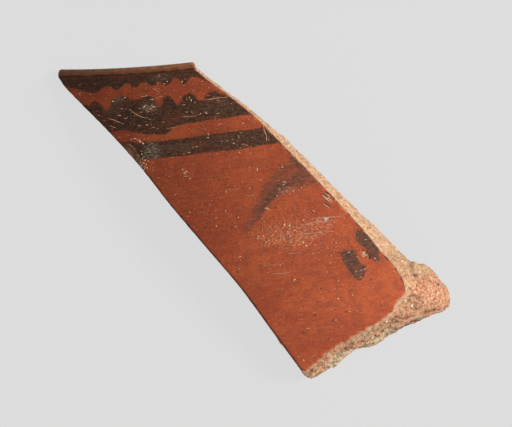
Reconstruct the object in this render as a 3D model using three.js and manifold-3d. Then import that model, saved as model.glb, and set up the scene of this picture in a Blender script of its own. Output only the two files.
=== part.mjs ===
// A rim sherd of a wide red-slipped bowl, lying painted side up on the three low corners of its breaks.
// It is one fired clay wall with its coat of red slip, the paint on the slip, the coarse grit that shows in
// the breaks, and the lime and soil that the ground left on it. Sizes are in millimetres.
//
// A place on the wall is an arc along the rim's circle, counted from the rim's left corner, and a depth below
// the top of the lip. The finished sherd stands on Z = 0, its rim towards +Y.

import * as THREE from "three";
import { mergeVertices } from "three/addons/utils/BufferGeometryUtils.js";
import Module from "manifold-3d";

const wasm = await Module();
wasm.setup();

// The bowl that the sherd broke from
const rimRadius = 100; // outer face, at the foot of the lip
const wallLeanDegrees = 10; // how far the wall spreads outwards just below the lip
const profileRadius = 625; // the wall's slow bulge from the lip to the belly

// The lip, half round in section
const lipHeight = 1.2;
const lipThickness = 3;

// The wall, which grows from the lip's thickness to its own
const wallThickness = 6.6;
const wallGrowthDepth = 14; // depth in which most of that growth happens
const heelRise = 4.6; // extra thickness at the lower right corner
const heelReach = 24; // how far from that corner the thickening begins

// The painted face's outline: arcs and depths of its corners, and how far its sides bow
const rimLength = 38.2;
const shoulderArc = 79.1;
const shoulderDepth = 64.5;
const tipArc = 52.4;
const tipDepth = 79.7;
const leftBow = 4.6;
const rightBow = 4.3;
const bottomBow = 1.5;

// The inner face reaches further than the painted one where the breaks are bevelled
const rimLeftBevel = 1;
const rimRightUndercut = 1;
const tipBevelArc = 1.2;
const tipBevelDepth = 3.8;
const heelBevelArc = 13.1;
const heelBevelDepth = 7.4;
const innerLeftBow = 5.8;
const innerRightBow = 2.6;
const innerBottomBow = 2;

// The broken surfaces
const breakBumpHeight = 0.45;
const breakPitch = 7; // the largest bumps' spacing
const breakSweep = 1.5; // how fast a break leans out under the painted face: 1 is straight
const footWear = 0.7; // how far the three low corners are worn flat

// The coats, laid one on another
const coatGap = 0.04;
const slipThickness = 0.25;
const paintThickness = 0.14;
const edgeInset = 0.35; // the paint stops this far short of the breaks

// The painted bands: the gap between each and the one above it, or the lip, and its height
const rimBand = { gap: 0.2, height: 3.2 };
const scallopedBand = { gap: 1.2, height: 9.9 };
const lowerBand = { gap: 1.2, height: 4.6 };

// A mark below the lowest band begins at its down share of the way from that band down to the shoulder.

// The brush stroke: its mouth's height at the right break, and how far its tail reaches to the left and down
const stroke = { downShare: 0.085, mouth: 8, tailArc: 13.6, tailDepth: 16.9, tailWidth: 0.5 };
const strokeUpperBow = 2.2;
const strokeLowerBow = 2.5;

// The two dabs: the distance from the right break to the middle of the upper end, length and width, and how
// far they lean to the right, as a share of their fall
const leftDab = { downShare: 0.68, leanShare: 0.25, breakDistance: 6.6, length: 8.7, width: 4.1 };
const rightDab = { downShare: 0.58, leanShare: 0.4, breakDistance: 1.75, length: 8.8, width: 3.5 };

// What the ground left: a lime crust by the left break, a lime speck, and soil on the bottom break
const limeCrust = { height: 6.6, width: 5.4, thickness: 0.3 };
const limeSpeck = { downShare: 0.48, leanShare: 0.6, breakDistance: 5.7, length: 1.7, width: 1.5 };
const speckThickness = 0.3;
const soilThickness = 0.35;

// A chip through the slip between the dabs, on the right dab's left side
const chip = { length: 3.2, width: 1.7, sinkDepth: 0.55 };
const chipLeanDegrees = 55;
const chipAlongDabShare = 0.74;

// Grit: a grain's usual half size, the room round it, and its width, height and depth as shares of its size
const gritRadius = 0.62;
const gritGap = 0.05;
const gritFormShares = [1, 0.8, 0.9];
const gritSunkShare = 0.3; // how far a grain's middle lies under the break
const dentShares = [0.09, 0.07]; // how deep its facets are dented
const dentTurnCounts = [5, 6]; // how closely the dents follow one another

// A heap of lime or soil thins out to this share of its thickness at its rim.
const heapRimShare = 0.2;

// Grid steps: across the face, down the face, and through the wall
const columnCount = 22;
const rowCount = 36;
const layerCount = 7;

// Grid steps over each patch of paint or lime, along it and across it
const rimBandStepCounts = [54, 2];
const scallopedBandStepCounts = [54, 4];
const lowerBandStepCounts = [26, 2];
const strokeStepCounts = [14, 4];
const dabStepCounts = [6, 6];
const speckStepCounts = [4, 4];
const crustStepCounts = [8, 6];

// Shares of each side's length, with shares of its bow there
const leftBreakShares = [
  [0, 0], [0.03, 0.04], [0.1, 0.36], [0.2, 0.76], [0.32, 1], [0.45, 0.96],
  [0.58, 0.93], [0.73, 0.8], [0.87, 0.4], [1, 0],
];
const rightBreakShares = [
  [0, 0], [0.05, 0.17], [0.13, 0.52], [0.24, 0.86], [0.36, 0.95], [0.48, 1], [0.62, 0.97],
  [0.7, 0.93], [0.79, 0.81], [0.84, 0.71], [0.9, 0.65], [0.96, 0.42], [1, 0],
];
const bottomBreakShares = [
  [0, 0], [0.05, -0.18], [0.17, -0.05], [0.3, 0.07], [0.44, -0.21], [0.57, -0.62],
  [0.68, -0.89], [0.82, -0.98], [0.87, -0.35], [1, 0],
];
const innerRightBreakShares = [
  [0, 0], [0.08, 0.3], [0.14, 0.5], [0.2, 0.75], [0.33, 1], [0.41, 0.95], [0.5, 0.78], [0.62, 0.6],
  [0.7, 0.45], [0.78, 0.28], [0.83, 0.22], [0.87, 0.9], [0.95, 0.75], [0.975, 0.6], [1, 0],
];
const innerBottomBreakShares = [
  [0, 0], [0.12, 0.29], [0.2, 0.47], [0.265, 0.86], [0.335, 1], [0.45, 0.35],
  [0.53, 0.68], [0.63, 0.57], [0.8, -0.1], [0.91, -0.78], [0.97, -0.7], [1, 0],
];

// Shares of the way across the sherd, with shares of the band's height there
const rimBandUpperShares = [[0, 0], [0.35, 0.03], [0.7, 0], [1, 0.02]];
const rimBandLowerShares = [
  [0, 0.9], [0.13, 1], [0.2, 1.05], [0.27, 0.8], [0.34, 0.84], [0.415, 0.57], [0.49, 0.9], [0.56, 0.43],
  [0.61, 0.7], [0.66, 0.63], [0.72, 0.97], [0.78, 0.33], [0.83, 1], [0.88, 0.3], [0.96, 0.63], [1, 0.5],
];
const scallopUpperShares = [
  [0, 0.18], [0.11, 0.11], [0.18, 0.32], [0.29, 0], [0.36, 0.06], [0.48, 0.01], [0.54, 0.28],
  [0.6, 0.07], [0.67, 0.27], [0.765, 0.02], [0.825, 0.28], [0.905, 0.06], [1, 0.21],
];
const scallopLowerShares = [
  [0, 0.65], [0.05, 0.88], [0.21, 0.96], [0.37, 1.03], [0.43, 0.98], [0.51, 0.84],
  [0.61, 0.79], [0.8, 0.76], [1, 0.75],
];
const lowerBandUpperShares = [[0, 0], [0.12, 0.08], [0.33, 0.13], [0.52, 0.04], [0.72, 0], [1, -0.04]];
const lowerBandLowerShares = [
  [0, 1], [0.15, 0.98], [0.35, 1.03], [0.5, 0.94], [0.75, 1], [0.9, 0.95], [1, 1.02],
];

// Shares of the stroke's length from its mouth, with shares of its bow there
const strokeUpperShares = [
  [0, 0], [0.08, -0.17], [0.19, -0.48], [0.34, -1], [0.49, -0.78], [0.66, -0.5], [0.86, -0.37], [1, 0],
];
const strokeLowerShares = [
  [0, 0], [0.17, -0.39], [0.33, -0.86], [0.47, -1], [0.6, -0.8], [0.735, -0.33], [0.87, -0.26], [1, 0],
];

// Shares of a blob's length, with shares of its width there
const dabWidthShares = [[0, 0.72], [0.12, 0.95], [0.4, 0.9], [0.7, 1.02], [0.88, 0.9], [1, 0.45]];
const speckWidthShares = [[0, 0.35], [0.3, 0.9], [0.6, 1], [1, 0.3]];
const crustWidthShares = [[0, 0.5], [0.2, 0.95], [0.45, 0.8], [0.7, 1], [1, 0.35]];

// The broken surface's bumps: share of their height, turns per pitch along arc, depth and wall, and phase
const bumpShares = [
  { rise: 0.5, turns: [1, 0.7, 0.9], phase: 0.15 },
  { rise: 0.3, turns: [-1.7, 2.1, 1.6], phase: 0.6 },
  { rise: 0.2, turns: [3.3, 2.7, -3.1], phase: 0.35 },
];

// Where each patch of soil lies on the bottom break: from and to, as shares along it and through the wall
const soilCrustShares = { along: [0.4, 0.86], through: [0.42, 0.86] };
const soilFilmShares = { along: [0.09, 0.32], through: [0.28, 0.72] };

// The grit: which break, the shares along it and through the wall, size as a share of the usual, and colour
const gritShares = [
  { name: "white_grit_1", side: "right", along: 0.915, through: 0.4, size: 1, color: 0xf0e4cd },
  { name: "white_grit_2", side: "bottom", along: 0.9, through: 0.2, size: 0.9, color: 0xf2e8d6 },
  { name: "yellow_grit", side: "right", along: 0.985, through: 0.5, size: 0.85, color: 0xe6cc90 },
  { name: "dark_grit_1", side: "right", along: 0.71, through: 0.35, size: 0.9, color: 0x5d5148 },
  { name: "dark_grit_2", side: "right", along: 0.955, through: 0.62, size: 1.1, color: 0x4c3b33 },
  { name: "dark_grit_3", side: "bottom", along: 0.93, through: 0.55, size: 1, color: 0x50392f },
  { name: "red_grit", side: "right", along: 0.48, through: 0.5, size: 0.8, color: 0xa5563a },
];

// The colours and finishes
const finishes = {
  clay: { color: 0xd9a07c, roughness: 0.95 },
  slip: { color: 0xa1522f, roughness: 0.5 },
  wash: { color: 0x8a5638, roughness: 0.6 },
  paint: { color: 0x46302a, roughness: 0.55 },
  dab: { color: 0x6c4a42, roughness: 0.6 },
  lime: { color: 0xcbbda2, roughness: 0.95 },
  soil: { color: 0x8f7c66, roughness: 1 },
};
const gritRoughness = 0.7;

// A smooth curve through a table's points: cubic steps whose slopes follow the neighbouring points.
function curveThrough(table, x) {
  let k = 0;
  while (k < table.length - 2 && x > table[k + 1][0]) k += 1;
  const slope = (n) => {
    const before = table[Math.max(n - 1, 0)];
    const after = table[Math.min(n + 1, table.length - 1)];
    return (after[1] - before[1]) / (after[0] - before[0]);
  };
  const span = table[k + 1][0] - table[k][0];
  const t = (x - table[k][0]) / span;
  const rise = table[k + 1][1] - table[k][1];
  const startPull = slope(k) * span - rise;
  const endPull = rise - slope(k + 1) * span;
  return table[k][1] + rise * t + t * (1 - t) * (startPull * (1 - t) + endPull * t);
}

// A side of the sherd: straight from start to end, bowed towards the upper right as its table says.
function side(start, end, bow, shares) {
  const chord = end.clone().sub(start);
  const across = new THREE.Vector2(chord.y, -chord.x).normalize();
  return (share) => {
    const offset = bow * curveThrough(shares, share);
    return start.clone().addScaledVector(chord, share).addScaledVector(across, offset);
  };
}

// A face between its left, right and bottom sides and the straight rim; (u, v) begins at the left corner.
function face(left, right, bottom) {
  return (u, v) => {
    const between = left(v).lerp(right(v), u);
    const straight = left(1).lerp(right(1), u);
    return between.addScaledVector(bottom(u).sub(straight), v);
  };
}

// The corners as arc and depth, and the sides of the painted face and of the inner face
const rimLeft = new THREE.Vector2(0, lipHeight);
const rimRight = new THREE.Vector2(rimLength, lipHeight);
const shoulder = new THREE.Vector2(shoulderArc, shoulderDepth);
const tip = new THREE.Vector2(tipArc, tipDepth);
const innerRimLeft = new THREE.Vector2(-rimLeftBevel, lipHeight);
const innerRimRight = new THREE.Vector2(rimLength - rimRightUndercut, lipHeight);
const heel = new THREE.Vector2(shoulderArc + heelBevelArc, shoulderDepth + heelBevelDepth);
const innerTip = new THREE.Vector2(tipArc + tipBevelArc, tipDepth + tipBevelDepth);

const leftSide = side(rimLeft, tip, leftBow, leftBreakShares);
const rightSide = side(rimRight, shoulder, rightBow, rightBreakShares);
const bottomSide = side(tip, shoulder, bottomBow, bottomBreakShares);
const paintedFace = face(leftSide, rightSide, bottomSide);
const innerFace = face(
  side(innerRimLeft, innerTip, innerLeftBow, leftBreakShares),
  side(innerRimRight, heel, innerRightBow, innerRightBreakShares),
  side(innerTip, heel, innerBottomBow, innerBottomBreakShares),
);
const middle = paintedFace(0.5, 0.5);

// The outer face's radius at a depth: it spreads below the lip and bulges slowly.
function outerRadius(depth) {
  const below = depth - lipHeight;
  const lean = Math.tan(THREE.MathUtils.degToRad(wallLeanDegrees));
  return rimRadius + lean * below - below ** 2 / (2 * profileRadius);
}

// The wall's thickness at a place: the lip's, growing into the wall's, and the heel's at the lower right.
function thickness(place) {
  const grown = 1 - Math.exp(-(place.y - lipHeight) / wallGrowthDepth);
  const near = 1 - THREE.MathUtils.smoothstep(place.distanceTo(heel), 0, heelReach);
  return THREE.MathUtils.lerp(lipThickness, wallThickness, grown) + heelRise * near;
}

// A point of the wall, round the bowl's upright axis; below is how far it lies inside the outer face.
function onWall(place, below) {
  const angle = (place.x - middle.x) / rimRadius;
  const radius = outerRadius(place.y) - below;
  return new THREE.Vector3(radius * Math.sin(angle), middle.y - place.y, radius * Math.cos(angle));
}

// The bumps of a broken surface, a sum of slanting waves, from about -1 to 1.
function bump(place, below) {
  let sum = 0;
  for (const { rise, turns, phase } of bumpShares) {
    const run = (turns[0] * place.x + turns[1] * place.y + turns[2] * below) / breakPitch;
    sum += rise * Math.sin(2 * Math.PI * (run + phase));
  }
  return sum;
}

// A point of the sherd's surface or breaks: u across, v down, and w through the wall from the painted face.
// The lip is half round, a break leans out fast under the painted face and then drops, and has bumps between.
function wallPoint(u, v, w) {
  const inner = innerFace(u, v);
  const place = paintedFace(u, v).lerp(inner, 1 - (1 - w) ** breakSweep);
  const full = thickness(inner);
  let below = w * full;
  if (v === 0) {
    below = full * (1 - Math.cos(Math.PI * w)) / 2;
    place.y = lipHeight * (1 - Math.sin(Math.PI * w));
  } else if (u === 0 || u === 1 || v === 1) {
    const outwards = place.clone().sub(middle).normalize();
    place.addScaledVector(outwards, breakBumpHeight * Math.sin(Math.PI * w) * bump(place, below));
  }
  return onWall(place, below);
}

// The sherd is turned so that the inner corners at the rim's left, the tip and the heel stand level.
const feet = [wallPoint(0, 0, 1), wallPoint(0, 1, 1), wallPoint(1, 1, 1)];
const up = new THREE.Plane().setFromCoplanarPoints(feet[0], feet[1], feet[2]).normal;
const rimwards = new THREE.Vector3(0, 1, 0).projectOnPlane(up).normalize();
const sideways = new THREE.Vector3().crossVectors(rimwards, up);
const toRest = new THREE.Matrix4().makeBasis(sideways, rimwards, up).transpose();
const footHeight = feet[0].clone().applyMatrix4(toRest).z;
toRest.premultiply(new THREE.Matrix4().makeTranslation(0, 0, -footHeight - footWear));

// A closed block over a grid of points: at(i, j, k) runs right, down and inwards, k from the outer side.
function block(at, acrossSteps, downSteps, inSteps) {
  const corners = [];
  const sheet = (point, firstSteps, secondSteps) => {
    for (let a = 0; a < firstSteps; a += 1) {
      for (let b = 0; b < secondSteps; b += 1) {
        const quad = [point(a, b), point(a + 1, b), point(a + 1, b + 1), point(a, b + 1)];
        for (const n of [0, 1, 2, 0, 2, 3]) corners.push(...quad[n].toArray());
      }
    }
  };
  sheet((a, b) => at(b, a, 0), downSteps, acrossSteps);
  sheet((a, b) => at(a, b, inSteps), acrossSteps, downSteps);
  sheet((a, b) => at(a, 0, b), acrossSteps, inSteps);
  sheet((a, b) => at(b, downSteps, a), inSteps, acrossSteps);
  sheet((a, b) => at(0, b, a), inSteps, downSteps);
  sheet((a, b) => at(acrossSteps, a, b), downSteps, inSteps);
  const geometry = new THREE.BufferGeometry();
  geometry.setAttribute("position", new THREE.Float32BufferAttribute(corners, 3));
  return geometry;
}

// The outward normals of a grid of points, from each point's neighbours.
function normalsOf(grid) {
  return grid.map((line, i) => line.map((point, j) => {
    const down = grid[Math.min(i + 1, grid.length - 1)][j].clone().sub(grid[Math.max(i - 1, 0)][j]);
    const right = line[Math.min(j + 1, line.length - 1)].clone().sub(line[Math.max(j - 1, 0)]);
    return down.cross(right).normalize();
  }));
}

// A coat over a grid of points: its underside lies base above them, and it is as thick there as thick says.
function coat(grid, base, thick) {
  const normals = normalsOf(grid);
  const at = (i, j, k) => {
    const lift = base + (k === 0 ? thick(i / (grid[0].length - 1), j / (grid.length - 1)) : 0);
    return grid[j][i].clone().addScaledVector(normals[j][i], lift);
  };
  return block(at, grid[0].length - 1, grid.length - 1, 1);
}

// A patch between two lines on the painted face, worked out on the smooth wall.
function patch(upperLine, lowerLine, [acrossSteps, downSteps], base, thick) {
  const grid = [];
  for (let j = 0; j <= downSteps; j += 1) {
    const line = [];
    for (let i = 0; i <= acrossSteps; i += 1) {
      const share = i / acrossSteps;
      line.push(onWall(upperLine(share).lerp(lowerLine(share), j / downSteps), 0));
    }
    grid.push(line);
  }
  return coat(grid, base, thick);
}

// The arc at which a side of the painted face passes a depth, by halving.
const halvings = 40;
function arcAtDepth(line, depth) {
  let low = 0;
  let high = 1;
  for (let n = 0; n < halvings; n += 1) {
    const half = (low + high) / 2;
    if (line(half).y < depth) low = half;
    else high = half;
  }
  return line(low).x;
}

// The depths at which the bands begin, and the free height below them down to the shoulder
const rimBandDepth = lipHeight + rimBand.gap;
const scallopedBandDepth = rimBandDepth + rimBand.height + scallopedBand.gap;
const lowerBandDepth = scallopedBandDepth + scallopedBand.height + lowerBand.gap;
const freeDepth = lowerBandDepth + lowerBand.height;

// The depth of a mark at its share of that free height
function depthOf(downShare) {
  return THREE.MathUtils.lerp(freeDepth, shoulderDepth, downShare);
}

// A line along a band's edge: from break to break, at the depth that the table gives across the sherd.
function bandEdge(startDepth, height, shares) {
  return (share) => {
    const depth = startDepth + height * curveThrough(shares, share);
    const from = arcAtDepth(leftSide, depth) + edgeInset;
    const to = arcAtDepth(rightSide, depth) - edgeInset;
    return new THREE.Vector2(THREE.MathUtils.lerp(from, to, share), depth);
  };
}

// A long side of a blob that leans right as it comes down: sign is 1 for its right side, -1 for its left.
function blobSide(blob, shares, sign) {
  const depth = depthOf(blob.downShare);
  const start = new THREE.Vector2(arcAtDepth(rightSide, depth) - blob.breakDistance, depth);
  const along = new THREE.Vector2(blob.leanShare, 1).normalize();
  const across = new THREE.Vector2(along.y, -along.x);
  return (share) => start.clone()
    .addScaledVector(along, blob.length * share)
    .addScaledVector(across, sign * blob.width / 2 * curveThrough(shares, share));
}

// A blob between its two long sides.
function blobPatch(blob, shares, steps, base, thick) {
  return patch(blobSide(blob, shares, 1), blobSide(blob, shares, -1), steps, base, thick);
}

// A heap's thickness, full in the middle
function heaped(full) {
  const middleShare = 1 - heapRimShare;
  return (a, b) => full * (heapRimShare + middleShare * Math.sin(Math.PI * a) * Math.sin(Math.PI * b));
}

// An even coat's thickness
function even(full) {
  return () => full;
}

// A closed geometry as a solid for cuts, its equal corners merged
function toSolid(geometry) {
  const bare = new THREE.BufferGeometry();
  bare.setAttribute("position", geometry.getAttribute("position").clone());
  if (geometry.index) bare.setIndex(geometry.index.clone());
  const merged = mergeVertices(bare);
  return new wasm.Manifold(new wasm.Mesh({
    numProp: 3,
    vertProperties: new Float32Array(merged.getAttribute("position").array),
    triVerts: new Uint32Array(merged.index.array),
  }));
}

// The solid back as a geometry
function fromSolid(solid) {
  const mesh = solid.getMesh();
  const geometry = new THREE.BufferGeometry();
  geometry.setAttribute("position", new THREE.BufferAttribute(new Float32Array(mesh.vertProperties), 3));
  geometry.setIndex(new THREE.BufferAttribute(new Uint32Array(mesh.triVerts), 1));
  return geometry;
}

// A grain's form: a unit ball of flat facets, dented here and there, as wide, long and deep as scale says.
function grain(scale, turn) {
  const faceted = new THREE.IcosahedronGeometry(1, 1).deleteAttribute("normal").deleteAttribute("uv");
  const ball = mergeVertices(faceted);
  const spots = ball.getAttribute("position");
  const spot = new THREE.Vector3();
  for (let n = 0; n < spots.count; n += 1) {
    spot.fromBufferAttribute(spots, n);
    const firstDent = dentShares[0] * Math.sin(turn + dentTurnCounts[0] * spot.x);
    const secondDent = dentShares[1] * Math.sin(2 * turn + dentTurnCounts[1] * spot.y);
    spot.multiplyScalar(1 + firstDent + secondDent);
    spots.setXYZ(n, spot.x * scale.x, spot.y * scale.y, spot.z * scale.z);
  }
  return ball;
}

// A frame that stands at a point, its Z along the normal and its Y as near as can be to the bowl's axis
function standOn(point, normal) {
  const y = new THREE.Vector3(0, 1, 0).projectOnPlane(normal).normalize();
  const x = new THREE.Vector3().crossVectors(y, normal);
  return new THREE.Matrix4().makeBasis(x, y, normal).setPosition(point);
}

const sherd = new THREE.Group();

// One named piece, turned with the rest from the bowl's place to the sherd's rest
function addPiece(name, geometry, finish) {
  const material = new THREE.MeshStandardMaterial({ metalness: 0, ...finish });
  geometry.computeVertexNormals();
  const piece = new THREE.Mesh(geometry, material);
  piece.name = name;
  sherd.add(piece);
}

// The point and outward normal of a break, at shares along it and through the wall
function onBreak(name, along, through) {
  const at = (a, w) => (name === "right" ? wallPoint(1, a, w) : wallPoint(a, 1, w));
  const step = 1 / rowCount;
  const point = at(along, through);
  const alongWay = at(along + step / 2, through).sub(at(along - step / 2, through));
  const inWay = at(along, through + step).sub(at(along, through - step));
  const normal = name === "right" ? alongWay.cross(inWay) : inWay.cross(alongWay);
  return { point, normal: normal.normalize() };
}

// The grit, each grain sunk past its middle in the break, and the socket that holds it
const sockets = [];
gritShares.forEach(({ name, side: where, along, through, size, color }, n) => {
  const radius = gritRadius * size;
  const seat = onBreak(where, along, through);
  const stand = standOn(seat.point.addScaledVector(seat.normal, -radius * gritSunkShare), seat.normal);
  const form = new THREE.Vector3(...gritFormShares).multiplyScalar(radius);
  const finish = { color, roughness: gritRoughness };
  addPiece(name, grain(form, n).applyMatrix4(stand).applyMatrix4(toRest), finish);
  const least = radius * Math.min(...gritFormShares) * (1 - dentShares[0] - dentShares[1]);
  form.multiplyScalar(1 + gritGap / least);
  sockets.push(toSolid(grain(form, n).applyMatrix4(stand).applyMatrix4(toRest)));
});

// The chip, a shallow scoop through the slip and the dab's edge into the clay
const chipPlace = blobSide(rightDab, dabWidthShares, -1)(chipAlongDabShare);
const chipPoint = onWall(chipPlace, 0);
const chipNormal = chipPoint.clone().sub(onWall(chipPlace, chip.sinkDepth)).normalize();
const chipTurn = new THREE.Matrix4().makeRotationZ(THREE.MathUtils.degToRad(-chipLeanDegrees));
const chipForm = new THREE.Vector3(chip.length / 2, chip.width / 2, chip.sinkDepth);
const scoop = toSolid(
  grain(chipForm, 1).applyMatrix4(chipTurn).applyMatrix4(standOn(chipPoint, chipNormal)).applyMatrix4(toRest),
);

// The ground that wears the three low corners flat
const groundSize = 2 * (shoulderArc + tipDepth);
const groundBox = new THREE.BoxGeometry(groundSize, groundSize, groundSize);
groundBox.translate(0, 0, -groundSize / 2);
const ground = toSolid(groundBox);

// The clay wall: the block between the painted and the inner face, less the sockets, the chip and the wear
const wallGrid = (i, j, k) => wallPoint(i / columnCount, j / rowCount, k / layerCount);
let clay = toSolid(block(wallGrid, columnCount, rowCount, layerCount).applyMatrix4(toRest));
for (const socket of sockets) clay = clay.subtract(socket);
addPiece("clay_wall", fromSolid(clay.subtract(scoop).subtract(ground)), finishes.clay);

// The grid that the slip lies on: up the inside by two rows, over the lip, and down the painted face
const insideRowCount = 2;
const slipGrid = [];
const lineAt = (v, w) => Array.from({ length: columnCount + 1 }, (_, i) => wallPoint(i / columnCount, v, w));
for (let j = insideRowCount; j > 0; j -= 1) slipGrid.push(lineAt(j / rowCount, 1));
for (let k = layerCount; k >= 0; k -= 1) slipGrid.push(lineAt(0, k / layerCount));
for (let j = 1; j <= rowCount; j += 1) slipGrid.push(lineAt(j / rowCount, 0));
const slip = toSolid(coat(slipGrid, coatGap, even(slipThickness)).applyMatrix4(toRest));
addPiece("red_slip", fromSolid(slip.subtract(scoop).subtract(ground)), finishes.slip);

// The wash lies over the slip, on the lip alone.
const onSlip = coatGap + slipThickness + coatGap;
const lipGrid = slipGrid.slice(insideRowCount, insideRowCount + layerCount + 1);
const wash = toSolid(coat(lipGrid, onSlip, even(paintThickness)).applyMatrix4(toRest));
addPiece("lip_wash", fromSolid(wash.subtract(ground)), finishes.wash);

// The bands, from break to break
function bandStrip(depth, band, upper, lower, steps) {
  const upperLine = bandEdge(depth, band.height, upper);
  const lowerLine = bandEdge(depth, band.height, lower);
  return patch(upperLine, lowerLine, steps, onSlip, even(paintThickness)).applyMatrix4(toRest);
}
addPiece(
  "rim_band",
  bandStrip(rimBandDepth, rimBand, rimBandUpperShares, rimBandLowerShares, rimBandStepCounts),
  finishes.paint,
);
addPiece(
  "scalloped_band",
  bandStrip(
    scallopedBandDepth,
    scallopedBand,
    scallopUpperShares,
    scallopLowerShares,
    scallopedBandStepCounts,
  ),
  finishes.paint,
);
addPiece(
  "lower_band",
  bandStrip(lowerBandDepth, lowerBand, lowerBandUpperShares, lowerBandLowerShares, lowerBandStepCounts),
  finishes.paint,
);

// The brush stroke: from its mouth along the right break, both sides bow to the upper left towards the tail.
const mouthDepth = depthOf(stroke.downShare);
const mouthFootDepth = mouthDepth + stroke.mouth;
const mouthTop = new THREE.Vector2(arcAtDepth(rightSide, mouthDepth) - edgeInset, mouthDepth);
const mouthFoot = new THREE.Vector2(arcAtDepth(rightSide, mouthFootDepth) - edgeInset, mouthFootDepth);
const tail = mouthTop.clone().add(new THREE.Vector2(-stroke.tailArc, stroke.tailDepth));
const tailFoot = tail.clone().add(new THREE.Vector2(stroke.tailWidth, stroke.tailWidth));
const strokeUpper = side(mouthTop, tail, strokeUpperBow, strokeUpperShares);
const strokeLower = side(mouthFoot, tailFoot, strokeLowerBow, strokeLowerShares);
const strokePatch = patch(
  (share) => strokeUpper(1 - share),
  (share) => strokeLower(1 - share),
  strokeStepCounts,
  onSlip,
  even(paintThickness),
);
addPiece("brush_stroke", strokePatch.applyMatrix4(toRest), finishes.paint);

// The dabs, the right one touched by the chip
function dabPatch(dab) {
  return blobPatch(dab, dabWidthShares, dabStepCounts, onSlip, even(paintThickness)).applyMatrix4(toRest);
}
addPiece("left_dab", dabPatch(leftDab), finishes.dab);
const rightDabSolid = toSolid(dabPatch(rightDab));
addPiece("right_dab", fromSolid(rightDabSolid.subtract(scoop)), finishes.dab);

// The lime crust spreads from the left break over the lower band's end, and the speck lies on the slip.
const onPaint = onSlip + paintThickness + coatGap;
function crustLine(widthShare) {
  return (share) => {
    const depth = lowerBandDepth + limeCrust.height * share;
    const reach = limeCrust.width * widthShare * curveThrough(crustWidthShares, share);
    return new THREE.Vector2(arcAtDepth(leftSide, depth) + edgeInset + reach, depth);
  };
}
const crust = patch(crustLine(1), crustLine(0), crustStepCounts, onPaint, heaped(limeCrust.thickness));
addPiece("lime_crust", crust.applyMatrix4(toRest), finishes.lime);
const speck = blobPatch(limeSpeck, speckWidthShares, speckStepCounts, onSlip, heaped(speckThickness));
addPiece("lime_speck", speck.applyMatrix4(toRest), finishes.lime);

// The soil on the bottom break, laid on the break's own grid
function soilPatch({ along, through }) {
  const grid = [];
  for (let k = Math.round(through[0] * layerCount); k <= Math.round(through[1] * layerCount); k += 1) {
    const line = [];
    for (let i = Math.round(along[0] * columnCount); i <= Math.round(along[1] * columnCount); i += 1) {
      line.push(wallPoint(i / columnCount, 1, k / layerCount));
    }
    grid.push(line);
  }
  return coat(grid, coatGap, heaped(soilThickness)).applyMatrix4(toRest);
}
addPiece("soil_crust", soilPatch(soilCrustShares), finishes.soil);
addPiece("soil_film", soilPatch(soilFilmShares), finishes.soil);

// The origin is the middle of the sherd's foot.
const extent = new THREE.Box3().setFromObject(sherd);
const centre = extent.getCenter(new THREE.Vector3());
sherd.position.set(-centre.x, -centre.y, 0);

export default sherd;
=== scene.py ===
"""A painted rim sherd of red-slipped pottery, lying painted side up on a pale table.

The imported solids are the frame. Each piece here is a finer surface over the formulas that shape its solid.
Sizes are worked out in millimetres and put into the meshes in metres. A place on the wall is an arc along the
rim's circle, counted from the rim's left corner, and a depth below the top of the lip. A point stands first
round the bowl's upright axis, and is then turned to the sherd's rest.
"""

import math

import bpy
import numpy as np
from mathutils import Matrix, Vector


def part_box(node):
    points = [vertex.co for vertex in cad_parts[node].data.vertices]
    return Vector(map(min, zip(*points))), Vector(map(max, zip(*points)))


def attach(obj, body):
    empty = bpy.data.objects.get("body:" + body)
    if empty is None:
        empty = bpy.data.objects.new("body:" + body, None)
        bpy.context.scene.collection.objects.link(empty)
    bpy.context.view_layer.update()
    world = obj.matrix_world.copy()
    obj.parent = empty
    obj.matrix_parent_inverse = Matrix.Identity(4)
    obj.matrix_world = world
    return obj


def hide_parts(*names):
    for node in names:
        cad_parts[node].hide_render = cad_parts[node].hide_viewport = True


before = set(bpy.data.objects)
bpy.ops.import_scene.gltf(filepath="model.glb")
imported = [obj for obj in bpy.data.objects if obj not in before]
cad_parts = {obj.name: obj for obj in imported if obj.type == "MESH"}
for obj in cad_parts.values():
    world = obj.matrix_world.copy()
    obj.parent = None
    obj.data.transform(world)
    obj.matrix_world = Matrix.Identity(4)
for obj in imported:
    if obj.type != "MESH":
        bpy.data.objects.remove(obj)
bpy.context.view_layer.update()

# A millimetre in metres, and the wall map's unit in millimetres
MM = 0.001
MAP_UNIT = 100

# The bowl, the lip and the wall
RIM_RADIUS = 100
WALL_LEAN = math.radians(10)
PROFILE_RADIUS = 625
LIP_HEIGHT = 1.2
LIP_THICKNESS = 3
WALL_THICKNESS = 6.6
WALL_GROWTH_DEPTH = 14
HEEL_RISE = 4.6
HEEL_REACH = 24

# The corners of the painted face and of the inner face, as arc and depth
RIM_LEFT = np.array([0, LIP_HEIGHT])
RIM_RIGHT = np.array([38.2, LIP_HEIGHT])
SHOULDER = np.array([79.1, 64.5])
TIP = np.array([52.4, 79.7])
INNER_RIM_LEFT = RIM_LEFT - [1, 0]
INNER_RIM_RIGHT = RIM_RIGHT - [1, 0]
HEEL = SHOULDER + [13.1, 7.4]
INNER_TIP = TIP + [1.2, 3.8]

# The broken surfaces
BREAK_BUMP_HEIGHT = 0.45
BREAK_PITCH = 7
BREAK_SWEEP = 1.5
FOOT_WEAR = 0.7

# The coats
COAT_GAP = 0.04
SLIP_THICKNESS = 0.25
SLIP_TOP = COAT_GAP + SLIP_THICKNESS
PAINT_THICKNESS = 0.14
EDGE_INSET = 0.35

# Where the scalloped band begins and how high it is
SCALLOPED_BAND = (5.8, 9.9)
SCALLOPED_BAND_POINTS = (55, 5)

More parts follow.
